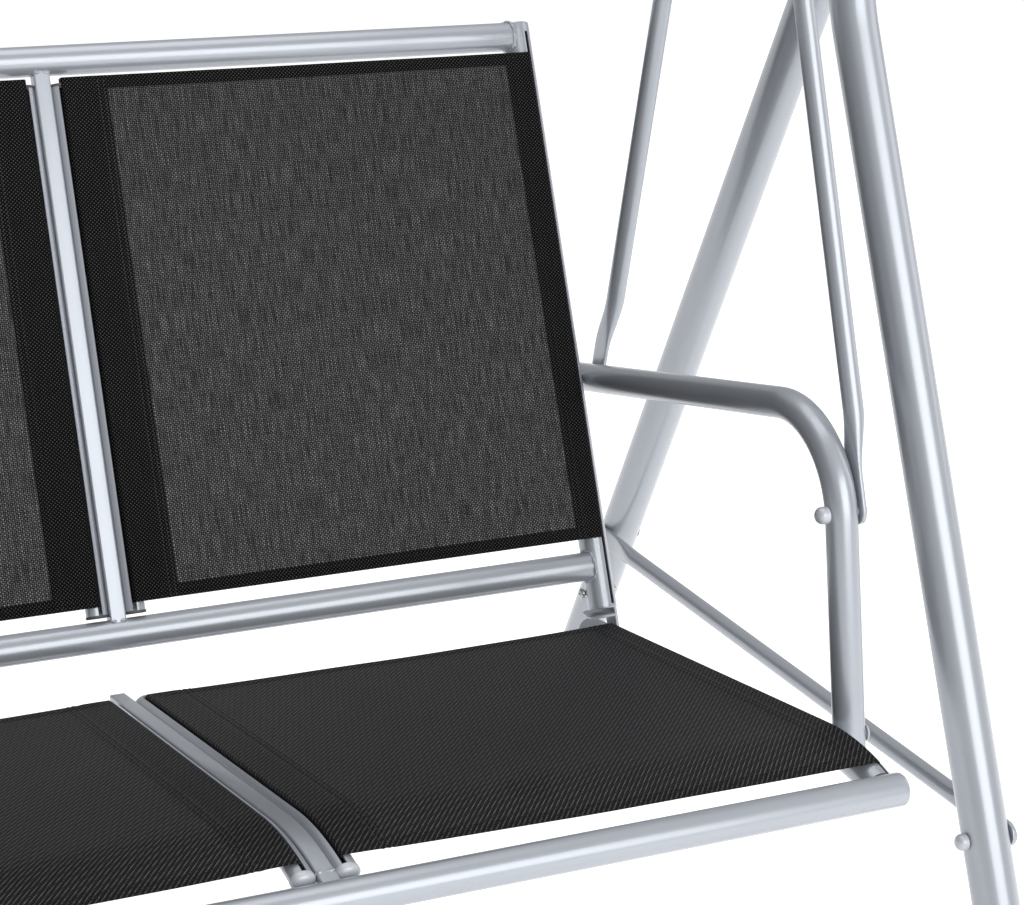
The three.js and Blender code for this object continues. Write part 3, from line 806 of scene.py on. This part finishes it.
def seat_point(y, kind):
    """(z, slope) of a seat rail's top line at y."""
    rear, bend, r = SEAT_LINES[kind]
    slope = math.atan2(bend[1] - rear[1], rear[0] - bend[0])
    if y >= bend[0]:
        return bend[1] - (y - bend[0]) * math.tan(slope), slope
    q = math.asin(math.sin(slope) - (bend[0] - y) / r)
    return bend[1] + r * (math.cos(q) - math.cos(slope)), q


def seat_station(y, x, kind):
    z, q = seat_point(y, kind)
    return np.array([x, y, z]), ALONG_X, np.array([0, math.sin(q), math.cos(q)]), 1.0


def seat_stations(y0, y1, x, kind):
    split = SEAT_LINES["outer"][1][0] + 12
    ys = [y0, *np.linspace(split, y1, 14)] if y0 > split else np.linspace(y0, y1, 14)
    return [seat_station(y, x, kind) for y in ys]


BACK_VECTOR = np.array([0, *(TOP_TUBE - LOWER_TUBE)])
BACK_LENGTH = np.linalg.norm(BACK_VECTOR)
BACK_UP = unit(BACK_VECTOR)
BACK_OUT = np.array([0, -BACK_UP[2], BACK_UP[1]])


def back_at(s, x, lift):
    return np.array([x, *LOWER_TUBE]) + BACK_UP * s + BACK_OUT * lift


def back_station(s, x, lift=BACK_TOP_LINE):
    return back_at(s, x, lift), ALONG_X, BACK_OUT, 1.0


def end_cap(station, along, ru, rv, rise, grow=0.0):
    """Domed plug over the end of a rail: along looks out of the rail."""
    p, u, v, _ = station
    w = unit(along)
    middle = p - v * rv
    across = oval(ru + grow, rv + grow) @ np.array([u, v])
    rings = [middle - w * CAP_DEPTH + across * 0.999]
    for q in np.linspace(0, math.pi / 2, 8)[:-1]:
        rings.append(middle + w * rise * math.sin(q) + across * math.cos(q))
    return outward(skin(rings))


def flat_plug(station, along, ru, rv, grow=0.5):
    """Flat plug with an eased edge, its body just inside the rail's end."""
    p, u, v, _ = station
    w = unit(along)
    middle = p - v * rv
    face = [(PLUG_T - 0.8, grow), (PLUG_T - 0.25, grow - 0.3), (PLUG_T, grow - 0.9)]
    rings = []
    for d, k in [(-1.5, -0.6), (0.1, -0.6), (0.12, grow), *face]:
        rings.append(middle + w * d + oval(ru + k, rv + k, 48) @ np.array([u, v]))
    return outward(skin(rings))


def landing(point, direction, axis, r):
    """Where a ray in the YZ plane first meets a cross tube of radius r round axis (y, z)."""
    d = unit(np.asarray(direction)[1:])
    rel = np.asarray(point)[1:] - axis
    b = rel @ d
    c = rel @ rel - r * r
    disc = b * b - c
    t = -b - math.sqrt(disc) if disc > 0 else -b
    return np.array([point[0], *(np.asarray(point)[1:] + d * t)])


CAP_SEAT = 3.0
OUTER_CAP_RISE = 3.0
MID_CAP_SEAT = 2.5
REAR_CAP = {"rise": 2.5, "grow": 0.25}
FRONT_CAP = {"rise": 4.2, "grow": 0.35}
HEAD_LENGTH = 9.0
HEAD_EASE = 1.6
FOOT_PLUG_T = 2.6

OUTER_SECTION = rail_section(OUTER_R, OUTER_R, OUTER_SLOT)
MID_SECTION = rail_section(MID_RU, MID_RV, MID_SLOT)


def seat_outer_shells():
    y0, y1 = SEAT_LINES["outer"][0][0], SEAT_FRONT_Y
    stations = seat_stations(y0 - CAP_SEAT, y1, RAIL_X, "outer")
    rear = stations[0]
    back_way = rear[0] - seat_station(y0 - 30, RAIL_X, "outer")[0]
    shells = [sweep(OUTER_SECTION, stations), end_cap(rear, back_way, OUTER_R, OUTER_R, OUTER_CAP_RISE)]
    return shells + plate_shells()


def plate_shells():
    """Plate beside both outer rails, carrying the foot of the back rail."""
    c = PLATE_CORNER
    outline = [
        (PLATE_TOP - c, PLATE_FRONT), (PLATE_FOOT + c, PLATE_FRONT), (PLATE_FOOT, PLATE_FRONT - c),
        (PLATE_FOOT, PLATE_REAR + c), (PLATE_FOOT + c, PLATE_REAR), (PLATE_TOP - c, PLATE_REAR),
        (PLATE_TOP, PLATE_REAR + c), (PLATE_TOP, PLATE_FRONT - c),
    ]
    mid_s, mid_n = (PLATE_TOP + PLATE_FOOT) / 2, (PLATE_FRONT + PLATE_REAR) / 2
    inner = RAIL_X + OUTER_R + GAP
    rings = []
    for dx, inset in ((0, 0.5), (0.5, 0), (PLATE_T - 0.5, 0), (PLATE_T, 0.5)):
        ring = []
        for s, n in outline:
            s += inset * (1 if s < mid_s else -1)
            n += inset * (1 if n < mid_n else -1)
            ring.append(back_at(s, inner + dx, n))
        rings.append(np.array(ring))
    run = np.linspace(PLATE_FOOT + 5, PLATE_FOOT + 20, 12)
    weld = bead([back_at(s, inner - 0.6, PLATE_FRONT - 1.5) for s in run])
    return [outward(skin(rings)), weld, ledge(RAIL_X - OUTER_R, inner + 1)]


def ledge(x0, x1):
    """Flat ledge under the foot of the back rail, its edges eased."""
    low, high = LEDGE_Z
    ease, corner = 0.6, 2
    rings = []
    for z, inset in ((low, ease), (low + ease, 0), (high - ease, 0), (high, ease)):
        a = x0 + inset
        c, d = LEDGE_Y[0] + inset, LEDGE_Y[1] - inset
        outline = [(a + corner, c), (x1, c), (x1, d), (a + corner, d), (a, d - corner), (a, c + corner)]
        rings.append(np.array([(x, y, z) for x, y in outline]))
    return outward(skin(rings))


def back_outer_shells():
    """Slotted up to a short closed head, with a plug in its foot."""
    s0, s1 = BACK_RAIL_FOOT + FOOT_PLUG_T, BACK_LENGTH + BACK_RAIL_HEAD
    slot_end = s1 - HEAD_LENGTH
    body = sweep(OUTER_SECTION, [back_station(s, RAIL_X) for s in (s0, slot_end)])
    head = [back_station(s, RAIL_X, BACK_DROP) for s in (slot_end + 0.01, s1)]
    closed = sweep(circle(OUTER_R, 48), [head[0], *eased(head, OUTER_R, HEAD_EASE)[6:]])
    return [body, closed, flat_plug(back_station(s0, RAIL_X), -BACK_UP, OUTER_R, OUTER_R, 0.0)]


painted("seat_outer_rail", seat_outer_shells())
painted("back_outer_rail", back_outer_shells())


def seat_mid_shells(x, section):
    stations = seat_stations(SEAT_MID_REAR_Y - MID_CAP_SEAT, SEAT_FRONT_Y + 1.0, x, "mid")
    rear, front = stations[0], stations[-1]
    back_way = rear[0] - stations[1][0]
    front_way = front[0] - stations[-2][0]
    caps = [
        end_cap(rear, back_way, MID_RU, MID_RV, **REAR_CAP),
        end_cap(front, front_way, MID_RU, MID_RV, **FRONT_CAP),
    ]
    return [sweep(section, stations)], caps


def back_mid_shells(x, section):
    low = back_station(BACK_MID_LOW + PLUG_T, x)
    high = back_station(BACK_LENGTH - BACK_MID_TOP - PLUG_T, x)
    plugs = [flat_plug(low, -BACK_UP, MID_RU, MID_RV), flat_plug(high, BACK_UP, MID_RU, MID_RV)]
    return [sweep(section, [low, high])], plugs


for tag, dx, section in (("outboard", MID_DX, MID_SECTION), ("inboard", -MID_DX, flipped(MID_SECTION))):
    x = DIVISION_X + dx
    rail, caps = seat_mid_shells(x, section)
    painted(f"seat_{tag}_rail", rail)
    both(f"seat_{tag}_rail_caps", caps, CAP, "swing", "frame_paint", node=False)
    rail, plugs = back_mid_shells(x, section)
    painted(f"back_{tag}_rail", rail)
    both(f"back_{tag}_rail_plugs", plugs, PLUG, "swing", "foot_plastic", node=False)


# ---- struts ----
def strut_profile(high, deep, ease=1.5, steps=4):
    """Upright bar section with rounded upper edges."""
    w = STRUT_HALF_W
    right = [
        (w - ease + ease * math.sin(q), high - ease + ease * math.cos(q))
        for q in np.linspace(0, math.pi / 2, steps + 1)
    ]
    low = high - deep
    right += [(w, low + 0.5), (w - 0.5, low)]
    return np.array([*right, *[(-a, b) for a, b in right[::-1]]])


def shaped(profile, stations, axes):
    """Sweep whose first and last rings lie on the cross tubes round the two axes."""
    rings = [p + profile[:, :1] * u + profile[:, 1:] * v for p, u, v, _ in stations]
    for end, following, axis in ((0, 1, axes[0]), (-1, -2, axes[1])):
        pairs = zip(rings[end], rings[following])
        rings[end] = np.array([landing(b, a - b, axis, TUBE_R) for a, b in pairs])
    return outward(skin(rings))


def strut_beads(point, u, v, w, seed):
    """Two lumps of weld where a strut meets a tube."""
    return [
        blob(point + u * dx, u, v, w, *WELD_LUMP, seed + i)
        for i, dx in enumerate((-STRUT_HALF_W * 0.62, STRUT_HALF_W * 0.55))
    ]


def seat_strut_shells():
    ys = [*np.linspace(REAR_TUBE[0] - 16, -300, 4), *np.linspace(-318, FRONT_TUBE[0] + 17, 12)]
    stations = [seat_station(y, DIVISION_X, "mid") for y in ys]
    profile = strut_profile(-2.4, 10.6)
    shells = [shaped(profile, stations, (REAR_TUBE, FRONT_TUBE))]
    p, u, v, _ = stations[-1]
    ahead = unit(p - stations[-2][0])
    shells += strut_beads(p + ahead * 2.0 - v * 3.2, u, v, ahead, 11)
    return shells


def back_strut_shells():
    ends = (14, 30, BACK_LENGTH - 30, BACK_LENGTH - 14)
    stations = [back_station(s, DIVISION_X) for s in ends]
    shells = [shaped(strut_profile(-1.0, 12.0), stations, (LOWER_TUBE, TOP_TUBE))]
    for s, seed in ((11.0, 31), (BACK_LENGTH - 11.0, 51)):
        shells += strut_beads(back_at(s, DIVISION_X, 7.0), ALONG_X, BACK_OUT, BACK_UP, seed)
    return shells


painted("seat_strut", seat_strut_shells())
painted("back_strut", back_strut_shells())


# ---- cross tubes ----
SADDLE_DEPTH = 4.0
SADDLE_NECK = 14.0


def saddle(rail_drop, direction, side):
    """End ring of a cross tube that fits against an outer rail."""
    ring = circle(TUBE_R, AROUND)
    w = unit(direction)
    across = np.array([0, -w[2], w[1]])
    out = []
    for a, b in ring:
        offset = np.array([0.0, a, b])
        h = offset @ across - rail_drop
        x = RAIL_X - OUTER_R + min(OUTER_R - math.sqrt(max(OUTER_R**2 - h * h, 0)), SADDLE_DEPTH)
        out.append((side * x, a, b))
    return np.array(out)


def cross_tube(axis, rail_drop, direction):
    """Tube between the outer rails. rail_drop is how far the rail's axis lies off the tube's."""
    y, z = axis
    rings = []
    beads = []
    for side in (-1, 1):
        end = saddle(rail_drop, direction, side) + (0, y, z)
        near = end.copy()
        near[:, 0] = side * (RAIL_X - OUTER_R - SADDLE_NECK)
        rings += [end, near] if side < 0 else [near, end]
        pulled = end.copy()
        pulled[:, 0] -= side * WELD_INSET
        beads.append(weld_ring(pulled))
    return [outward(skin(rings))] + beads


seat_line, _, seat_up, _ = seat_station(REAR_TUBE[0], 0, "outer")
seat_dir = np.array([0, seat_up[2], -seat_up[1]])
rear_drop = (seat_line - seat_up * OUTER_R - (0, *REAR_TUBE)) @ seat_up
for node, axis, rail_drop, direction in (
    ("seat_rear_tube", REAR_TUBE, rear_drop, seat_dir),
    ("back_lower_tube", LOWER_TUBE, BACK_DROP, BACK_UP),
    ("back_top_tube", TOP_TUBE, BACK_DROP, BACK_UP),
):
    shells = cross_tube(axis, rail_drop, direction)
    piece(f"look_{node}", shells, SILVER, "swing", "frame_paint", [node])


def front_tube():
    ends = crosswise(FRONT_TUBE_END, *FRONT_TUBE)
    return [sweep(circle(TUBE_R, 64), eased(ends, TUBE_R, 4.0, 7))]


piece("look_seat_front_tube", front_tube(), SILVER, "swing", "frame_paint", ["seat_front_tube"])


# ---- back rail screws ----
def cross_head(p, direction, r, rise, u, v):
    """Pan head with a cross recess."""
    w = unit(direction)
    n, steps = 64, 14
    rim = p + circle(r, n) @ np.array([u, v])
    rings = [rim, rim + w * 0.3 * rise]
    for k in range(1, steps):
        share = 1 - k / steps
        flat = circle(r * share, n)
        height = rise * (0.3 + 0.7 * math.sqrt(max(1 - share**2.4, 0)))
        arm = np.minimum(np.abs(flat[:, 0]), np.abs(flat[:, 1]))
        reach = np.maximum(np.abs(flat[:, 0]), np.abs(flat[:, 1]))
        sunk = np.clip((0.85 - arm) / 0.35, 0, 1) * np.clip((0.62 * r - reach) / 0.5, 0, 1)
        rings.append(p + flat @ np.array([u, v]) + w * (height - 1.5 * sunk)[:, None])
    return outward(skin(rings))


def back_screws():
    inner = back_at(SCREW_ALONG, RAIL_X - OUTER_R - GAP, SCREW_OUT)
    outer = back_at(SCREW_ALONG, RAIL_X + OUTER_R + GAP + PLATE_T + 0.1, SCREW_OUT)
    length = outer[0] - inner[0] + 1.0
    head = cross_head(inner, (-1, 0, 0), SCREW_R, SCREW_RISE, BACK_UP, BACK_OUT)
    shank = turned(inner, ALONG_X, [(0, SCREW_SHANK_R), (length, SCREW_SHANK_R)], 24)
    nut = turned(outer, ALONG_X, [(0, 4.6), (2.6, 4.6), (3.2, 3.8)], 6)
    return [head, shank, nut]


both("back_screw", back_screws(), ZINC, "swing", "fastener", node=False)


# ---- slung cloth ----
CLOTH_T = 0.9
CLOTH_TOP = 1.5
TAB = 5.0
TURN_R = 1.6
DIVISION_HEM = 37.0
OUTER_HEM = 24.0
END_HEM = 11.0
STITCH_IN = 2.5
STITCH_APART = 5.0
HEM_RISE = 0.45
CLOTH_RIPPLE = 0.22


def hem_profile(d, width):
    """Height over the sheet at distance d in from an edge with a hem of that width."""
    fall = smooth((d - width + 0.6) / 1.2)
    rise = HEM_RISE * (1 - fall)
    for row in (width - STITCH_IN, width - STITCH_IN - STITCH_APART):
        rise -= 0.5 * math.exp(-(((d - row) / 1.0) ** 2))
    return rise


def spaced(length, hem_a, hem_b, coarse=11.0):
    """Places across a sheet, close together round its hems and stitch rows."""
    places = set(np.linspace(0, length, int(length / coarse) + 1).round(3))
    for width, flip in ((hem_a, False), (hem_b, True)):
        for row in (width, width - STITCH_IN, width - STITCH_IN - STITCH_APART):
            for step in (-1.6, -0.8, 0.0, 0.8, 1.6):
                d = row + step
                if 0 < d < length:
                    places.add(round(length - d if flip else d, 3))
    places = sorted(places)
    kept = [places[0]]
    for a in places[1:]:
        if a - kept[-1] > 0.55:
            kept.append(a)
    kept[-1] = places[-1]
    return kept


FIELD, HEM = 0, 1
SEAT_SAG = 2.0
BACK_SAG = 1.2
STITCH_PITCH = 3.4
STITCH_R = 0.42


def cloth_height(d, far, span, hem_a, hem_b, sag):
    """Upper face at d from one turned edge and far from the other side's hem line."""
    drop = -sag * math.sin(math.pi * d / span) ** 0.8
    return CLOTH_TOP + drop + hem_profile(d, hem_a) + hem_profile(far, hem_b)


def cross_section(u0, u1, hem_a, hem_b, sag):
    """Points (u, v, distance from u0 side, flat) across the sheet's upper face, slot to slot."""
    edge = [(0.0, CLOTH_TOP - TURN_R - TAB * (1 - k / 3)) for k in range(4)]
    for q in (math.pi / 2 * k / 6 for k in range(1, 6)):
        edge.append((TURN_R * (1 - math.cos(q)), CLOTH_TOP - TURN_R + TURN_R * math.sin(q)))
    span = u1 - u0 - 2 * TURN_R
    out = [(u0 + du, v, 0.0, False) for du, v in edge]
    for d in spaced(span, hem_a, hem_b):
        far = u1 - u0 - TURN_R - d
        out.append((u0 + d + TURN_R, cloth_height(d, far, span, hem_a, hem_b, sag), d, True))
    return out + [(u1 - du, v, 0.0, False) for du, v in edge[::-1]]


def section_normals(points):
    ahead = np.roll(points, -1, 0) - np.roll(points, 1, 0)
    ahead[0] = points[1] - points[0]
    ahead[-1] = points[-1] - points[-2]
    ahead /= np.linalg.norm(ahead, axis=1)[:, None]
    return np.stack([-ahead[:, 1], ahead[:, 0]], 1)


def cloth(name, u0, u1, hem_a, hem_b, length, place, sag, looks, rests, nodes, seed):
    """One slung sheet. place(w, t) gives the station at share w across and distance t along."""
    section = cross_section(u0, u1, hem_a, hem_b, sag)
    upper_face = np.array([s[:2] for s in section])
    under_face = upper_face - section_normals(upper_face) * CLOTH_T
    run = np.concatenate([[0], np.cumsum(np.linalg.norm(np.diff(upper_face, axis=0), axis=1))])
    phase = np.random.default_rng(seed).uniform(0, PHASE, 2)
    rows = spaced(length, END_HEM, END_HEM)
    count = len(section)
    n = 2 * count
    points, uv = [], []
    for t in rows:
        rise = hem_profile(t, END_HEM) + hem_profile(length - t, END_HEM)
        for upper in (True, False):
            source = upper_face if upper else under_face[::-1]
            order = range(count) if upper else range(count - 1, -1, -1)
            for (u, v), i in zip(source, order):
                w = min(max((u - u0) / (u1 - u0), 0), 1)
                p, au, av = place(w, t)
                extra = 0.0
                if section[i][3]:
                    middle = math.sin(math.pi * w)
                    ripple = math.sin(u / 61 + phase[0] + t / 150)
                    ripple += 0.6 * math.sin(u / 23 + phase[1] - t / 90)
                    extra = CLOTH_RIPPLE * ripple * middle + (rise if upper else 0.0) * min(1, middle * 8)
                points.append(p + au * (u - u0) + av * (v + extra))
                uv.append((run[i] * MM, t * MM))
    faces, slots = [], []
    for k in range(len(rows) - 1):
        t_mid = (rows[k] + rows[k + 1]) / 2
        end = t_mid < END_HEM or t_mid > length - END_HEM
        for i in range(n):
            j = (i + 1) % n
            faces.append((k * n + i, k * n + j, (k + 1) * n + j, (k + 1) * n + i))
            a, b = (i, j) if i < count - 1 else (n - 1 - i, n - 1 - j)
            a, b = min(max(a, 0), count - 1), min(max(b, 0), count - 1)
            d = (section[a][2] + section[b][2]) / 2
            inside = section[a][3] and section[b][3] and hem_a < d < (u1 - u0) - 2 * TURN_R - hem_b
            slots.append(FIELD if inside and not end else HEM)
    for start, turn in ((0, -1), ((len(rows) - 1) * n, 1)):
        for i in range(start, start + count - 1):
            quad = (i, i + 1, n - 2 - i + 2 * start, n - 1 - i + 2 * start)
            faces.append(quad[::turn])
            slots.append(HEM)
    points, faces = outward((np.array(points), faces))
    obj = added(name, points, faces, looks, 50.0, "swing", "mesh_fabric")
    mesh = obj.data
    mesh.polygons.foreach_set("material_index", slots)
    layer = mesh.uv_layers.new(name="cloth")
    corners = np.empty(len(mesh.loops), np.int32)
    mesh.loops.foreach_get("vertex_index", corners)
    layer.data.foreach_set("uv", np.array(uv)[corners].ravel())
    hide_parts(*nodes)

    stitches = stitching(f"{name}_stitches", u0, u1, hem_a, hem_b, length, place, sag)




def stitching(name, u0, u1, hem_a, hem_b, length, place, sag):
    """Double rows of thread along the two side hems."""
    span = u1 - u0 - 2 * TURN_R
    ring = circle(1.0, 6)
    shells = []

    def stitch(middle, along, side, up, half):
        rings = []
        for k in (-1.0, -0.6, 0.0, 0.6, 1.0):
            r = STITCH_R * (0.35 if abs(k) == 1.0 else 1.0)
            at = middle + along * half * k - up * 0.3 * k * k
            rings.append(at + ring @ np.array([side, up]) * r)
        shells.append(skin(rings))

    for hem, flip in ((hem_a, False), (hem_b, True)):
        for row in (hem - STITCH_IN, hem - STITCH_IN - STITCH_APART):
            d = span - row if flip else row
            height = cloth_height(d, span - d, span, hem_a, hem_b, sag) + 0.12
            for t in np.arange(2.5, length - 2, STITCH_PITCH):
                w = (d + TURN_R) / (u1 - u0)
                p, au, av = place(w, t)
                q = place(w, min(t + 1, length))[0]
                rise = hem_profile(t, END_HEM) + hem_profile(length - t, END_HEM)
                middle = p + au * (d + TURN_R) + av * (height + max(rise, 0))
                stitch(middle, unit(q - p), au, av, STITCH_PITCH * 0.4)
    return added(name, *joined(shells), [THREAD], 180.0, "swing", "mesh_fabric")


def seat_place(u0, line_a, line_b):
    """Stations over a seat place, from its rear edge: ruled between two rail lines."""
    ys = np.linspace(SEAT_CLOTH_REAR_Y, SEAT_CLOTH_FRONT_Y, 120)
    steps = [0.0]
    for a, b in zip(ys[:-1], ys[1:]):
        steps.append(steps[-1] + math.hypot(b - a, seat_point(b, "mid")[0] - seat_point(a, "mid")[0]))

    def place(w, t):
        y = float(np.interp(t, steps, ys))
        za, qa = seat_point(y, line_a)
        zb, qb = seat_point(y, line_b)
        q = qa + (qb - qa) * w
        return np.array([u0, y, za + (zb - za) * w]), ALONG_X, np.array([0, math.sin(q), math.cos(q)])

    return place, steps[-1]


def back_place(u0):
    """Stations over a back place, from its foot. The back is flat, so the share across plays no part."""
    length = BACK_LENGTH - BACK_CLOTH_TOP - BACK_CLOTH_LOW

    def place(w, t):
        return back_at(BACK_CLOTH_LOW + t, u0, BACK_TOP_LINE), ALONG_X, BACK_OUT

    return place, length


OUTER_SLOT_X = RAIL_X + OUTER_SLOT
IN_SLOT_X = DIVISION_X + MID_DX + MID_SLOT
CENTRE_SLOT_X = DIVISION_X - MID_DX - MID_SLOT
PLACES = (
    (
        "right", IN_SLOT_X, OUTER_SLOT_X, "mid", "outer", DIVISION_HEM, OUTER_HEM,
        ("outboard_rail_right", "outer_rail_right"),
    ),
    (
        "centre", -CENTRE_SLOT_X, CENTRE_SLOT_X, "mid", "mid", DIVISION_HEM, DIVISION_HEM,
        ("inboard_rail_left", "inboard_rail_right"),
    ),
    (
        "left", -OUTER_SLOT_X, -IN_SLOT_X, "outer", "mid", OUTER_HEM, DIVISION_HEM,
        ("outer_rail_left", "outboard_rail_left"),
    ),
)
for number, (where, u0, u1, line_a, line_b, hem_a, hem_b, rails) in enumerate(PLACES):
    for part, (place, length), sag, looks, seed in (
        ("seat", seat_place(u0, line_a, line_b), SEAT_SAG, (SEAT_FIELD, SEAT_HEM), 20 + number),
        ("back", back_place(u0), BACK_SAG, (BACK_FIELD, BACK_HEM), 30 + number),
    ):
        cloth(
            f"cloth_{part}_{where}", u0, u1, hem_a, hem_b, length, place, sag, looks,
            [f"{part}_{r}" for r in rails], [f"{part}_panel_{where}"], seed,
        )


# ---- floor, light and camera ----
FLOOR_HALF = 30.0
DARK_SIDE = Vector((-0.95, 0.3, 0.0)).normalized()

# the camera, in metres
EYE = Vector((-0.380, -1.8888, 1.3812))
EYE_RIGHT = Vector((0.90234, -0.42914, 0.04013)).normalized()
EYE_FORWARD = Vector((0.41628, 0.84358, -0.33925)).normalized()
LENS_MM = 93.92
SENSOR_MM = 36.0


def pale_floor():
    look = Look("pale_floor")
    grain = look.noise(look.position(), 3.0, 3.0)
    look.set(
        Base_Color=mixed(look, grain, (0.90, 0.90, 0.90, 1), (0.93, 0.93, 0.93, 1)),
        Roughness=0.9,
        Specular_IOR_Level=0.1,
        Emission_Color=(1, 1, 1, 1),
        Emission_Strength=0.5,
    )
    mesh = bpy.data.meshes.new("floor")
    corners = [(FLOOR_HALF * a, FLOOR_HALF * b, 0) for a, b in ((-1, -1), (1, -1), (1, 1), (-1, 1))]
    mesh.from_pydata(corners, [], [(0, 1, 2, 3)])
    mesh.materials.append(look.material)
    floor = linked("floor", mesh)
    floor.location.z = -0.0005


def studio_world():
    """Pale studio: bright overhead, dimmer level with the seat, and a dark side on the left."""
    world = bpy.data.worlds.new("studio")
    bpy.context.scene.world = world
    world.use_nodes = True
    tree = world.node_tree
    back = tree.nodes["Background"]
    coords = add_node(tree, "TexCoord").outputs["Generated"]
    height = add_node(tree, "SeparateXYZ", {0: coords}).outputs[2]
    lift = add_node(tree, "MapRange", {"Value": height, "From Min": -1.0})
    ramp = add_node(tree, "ValToRGB", {0: lift.outputs["Result"]})
    stops = ((0.0, 0.7), (0.50, 0.42), (0.62, 0.42), (0.80, 0.55), (1.0, 0.75))
    while len(ramp.color_ramp.elements) < len(stops):
        ramp.color_ramp.elements.new(0.5)
    for element, (at, grey) in zip(ramp.color_ramp.elements, stops):
        element.position = at
        element.color = (grey, grey, grey * 1.01, 1)
    dark = add_node(tree, "VectorMath", {0: coords, 1: DARK_SIDE}, operation="DOT_PRODUCT")
    limits = {"From Min": 0.5, "From Max": 0.9, "To Min": 1.0, "To Max": 0.04}
    share = add_node(
        tree, "MapRange", {"Value": dark.outputs["Value"], **limits}, interpolation_type="SMOOTHSTEP"
    )
    put(tree, back.inputs["Color"], ramp.outputs[0])
    put(tree, back.inputs["Strength"], share.outputs["Result"])


def area_light(name, place, target, size, watts):
    data = bpy.data.lights.new(name, "AREA")
    data.shape = "RECTANGLE"
    data.size, data.size_y = size
    data.energy = watts
    lamp = linked(name, data)
    lamp.location = place
    lamp.rotation_euler = (Vector(target) - Vector(place)).to_track_quat("-Z", "Y").to_euler()


def camera():
    data = bpy.data.cameras.new("camera")
    data.sensor_fit = "HORIZONTAL"
    data.sensor_width = SENSOR_MM
    data.lens = LENS_MM
    up = EYE_RIGHT.cross(EYE_FORWARD)
    matrix = Matrix((EYE_RIGHT, up, -EYE_FORWARD)).transposed().to_4x4()
    matrix.translation = EYE
    shooter = linked("camera", data)
    shooter.matrix_world = matrix
    bpy.context.scene.camera = shooter


pale_floor()
studio_world()
area_light("key", (1.2, -4.6, 2.4), (0.4, 0, 0.7), (4.2, 3.4), 150)
area_light("right", (3.6, -0.6, 2.0), (0.5, 0, 0.7), (1.6, 2.4), 14)
area_light("overhead", (0.3, 0.6, 4.2), (0.3, 0, 0.6), (3.2, 2.6), 40)
camera()
bpy.context.scene.view_settings.view_transform = "Standard"
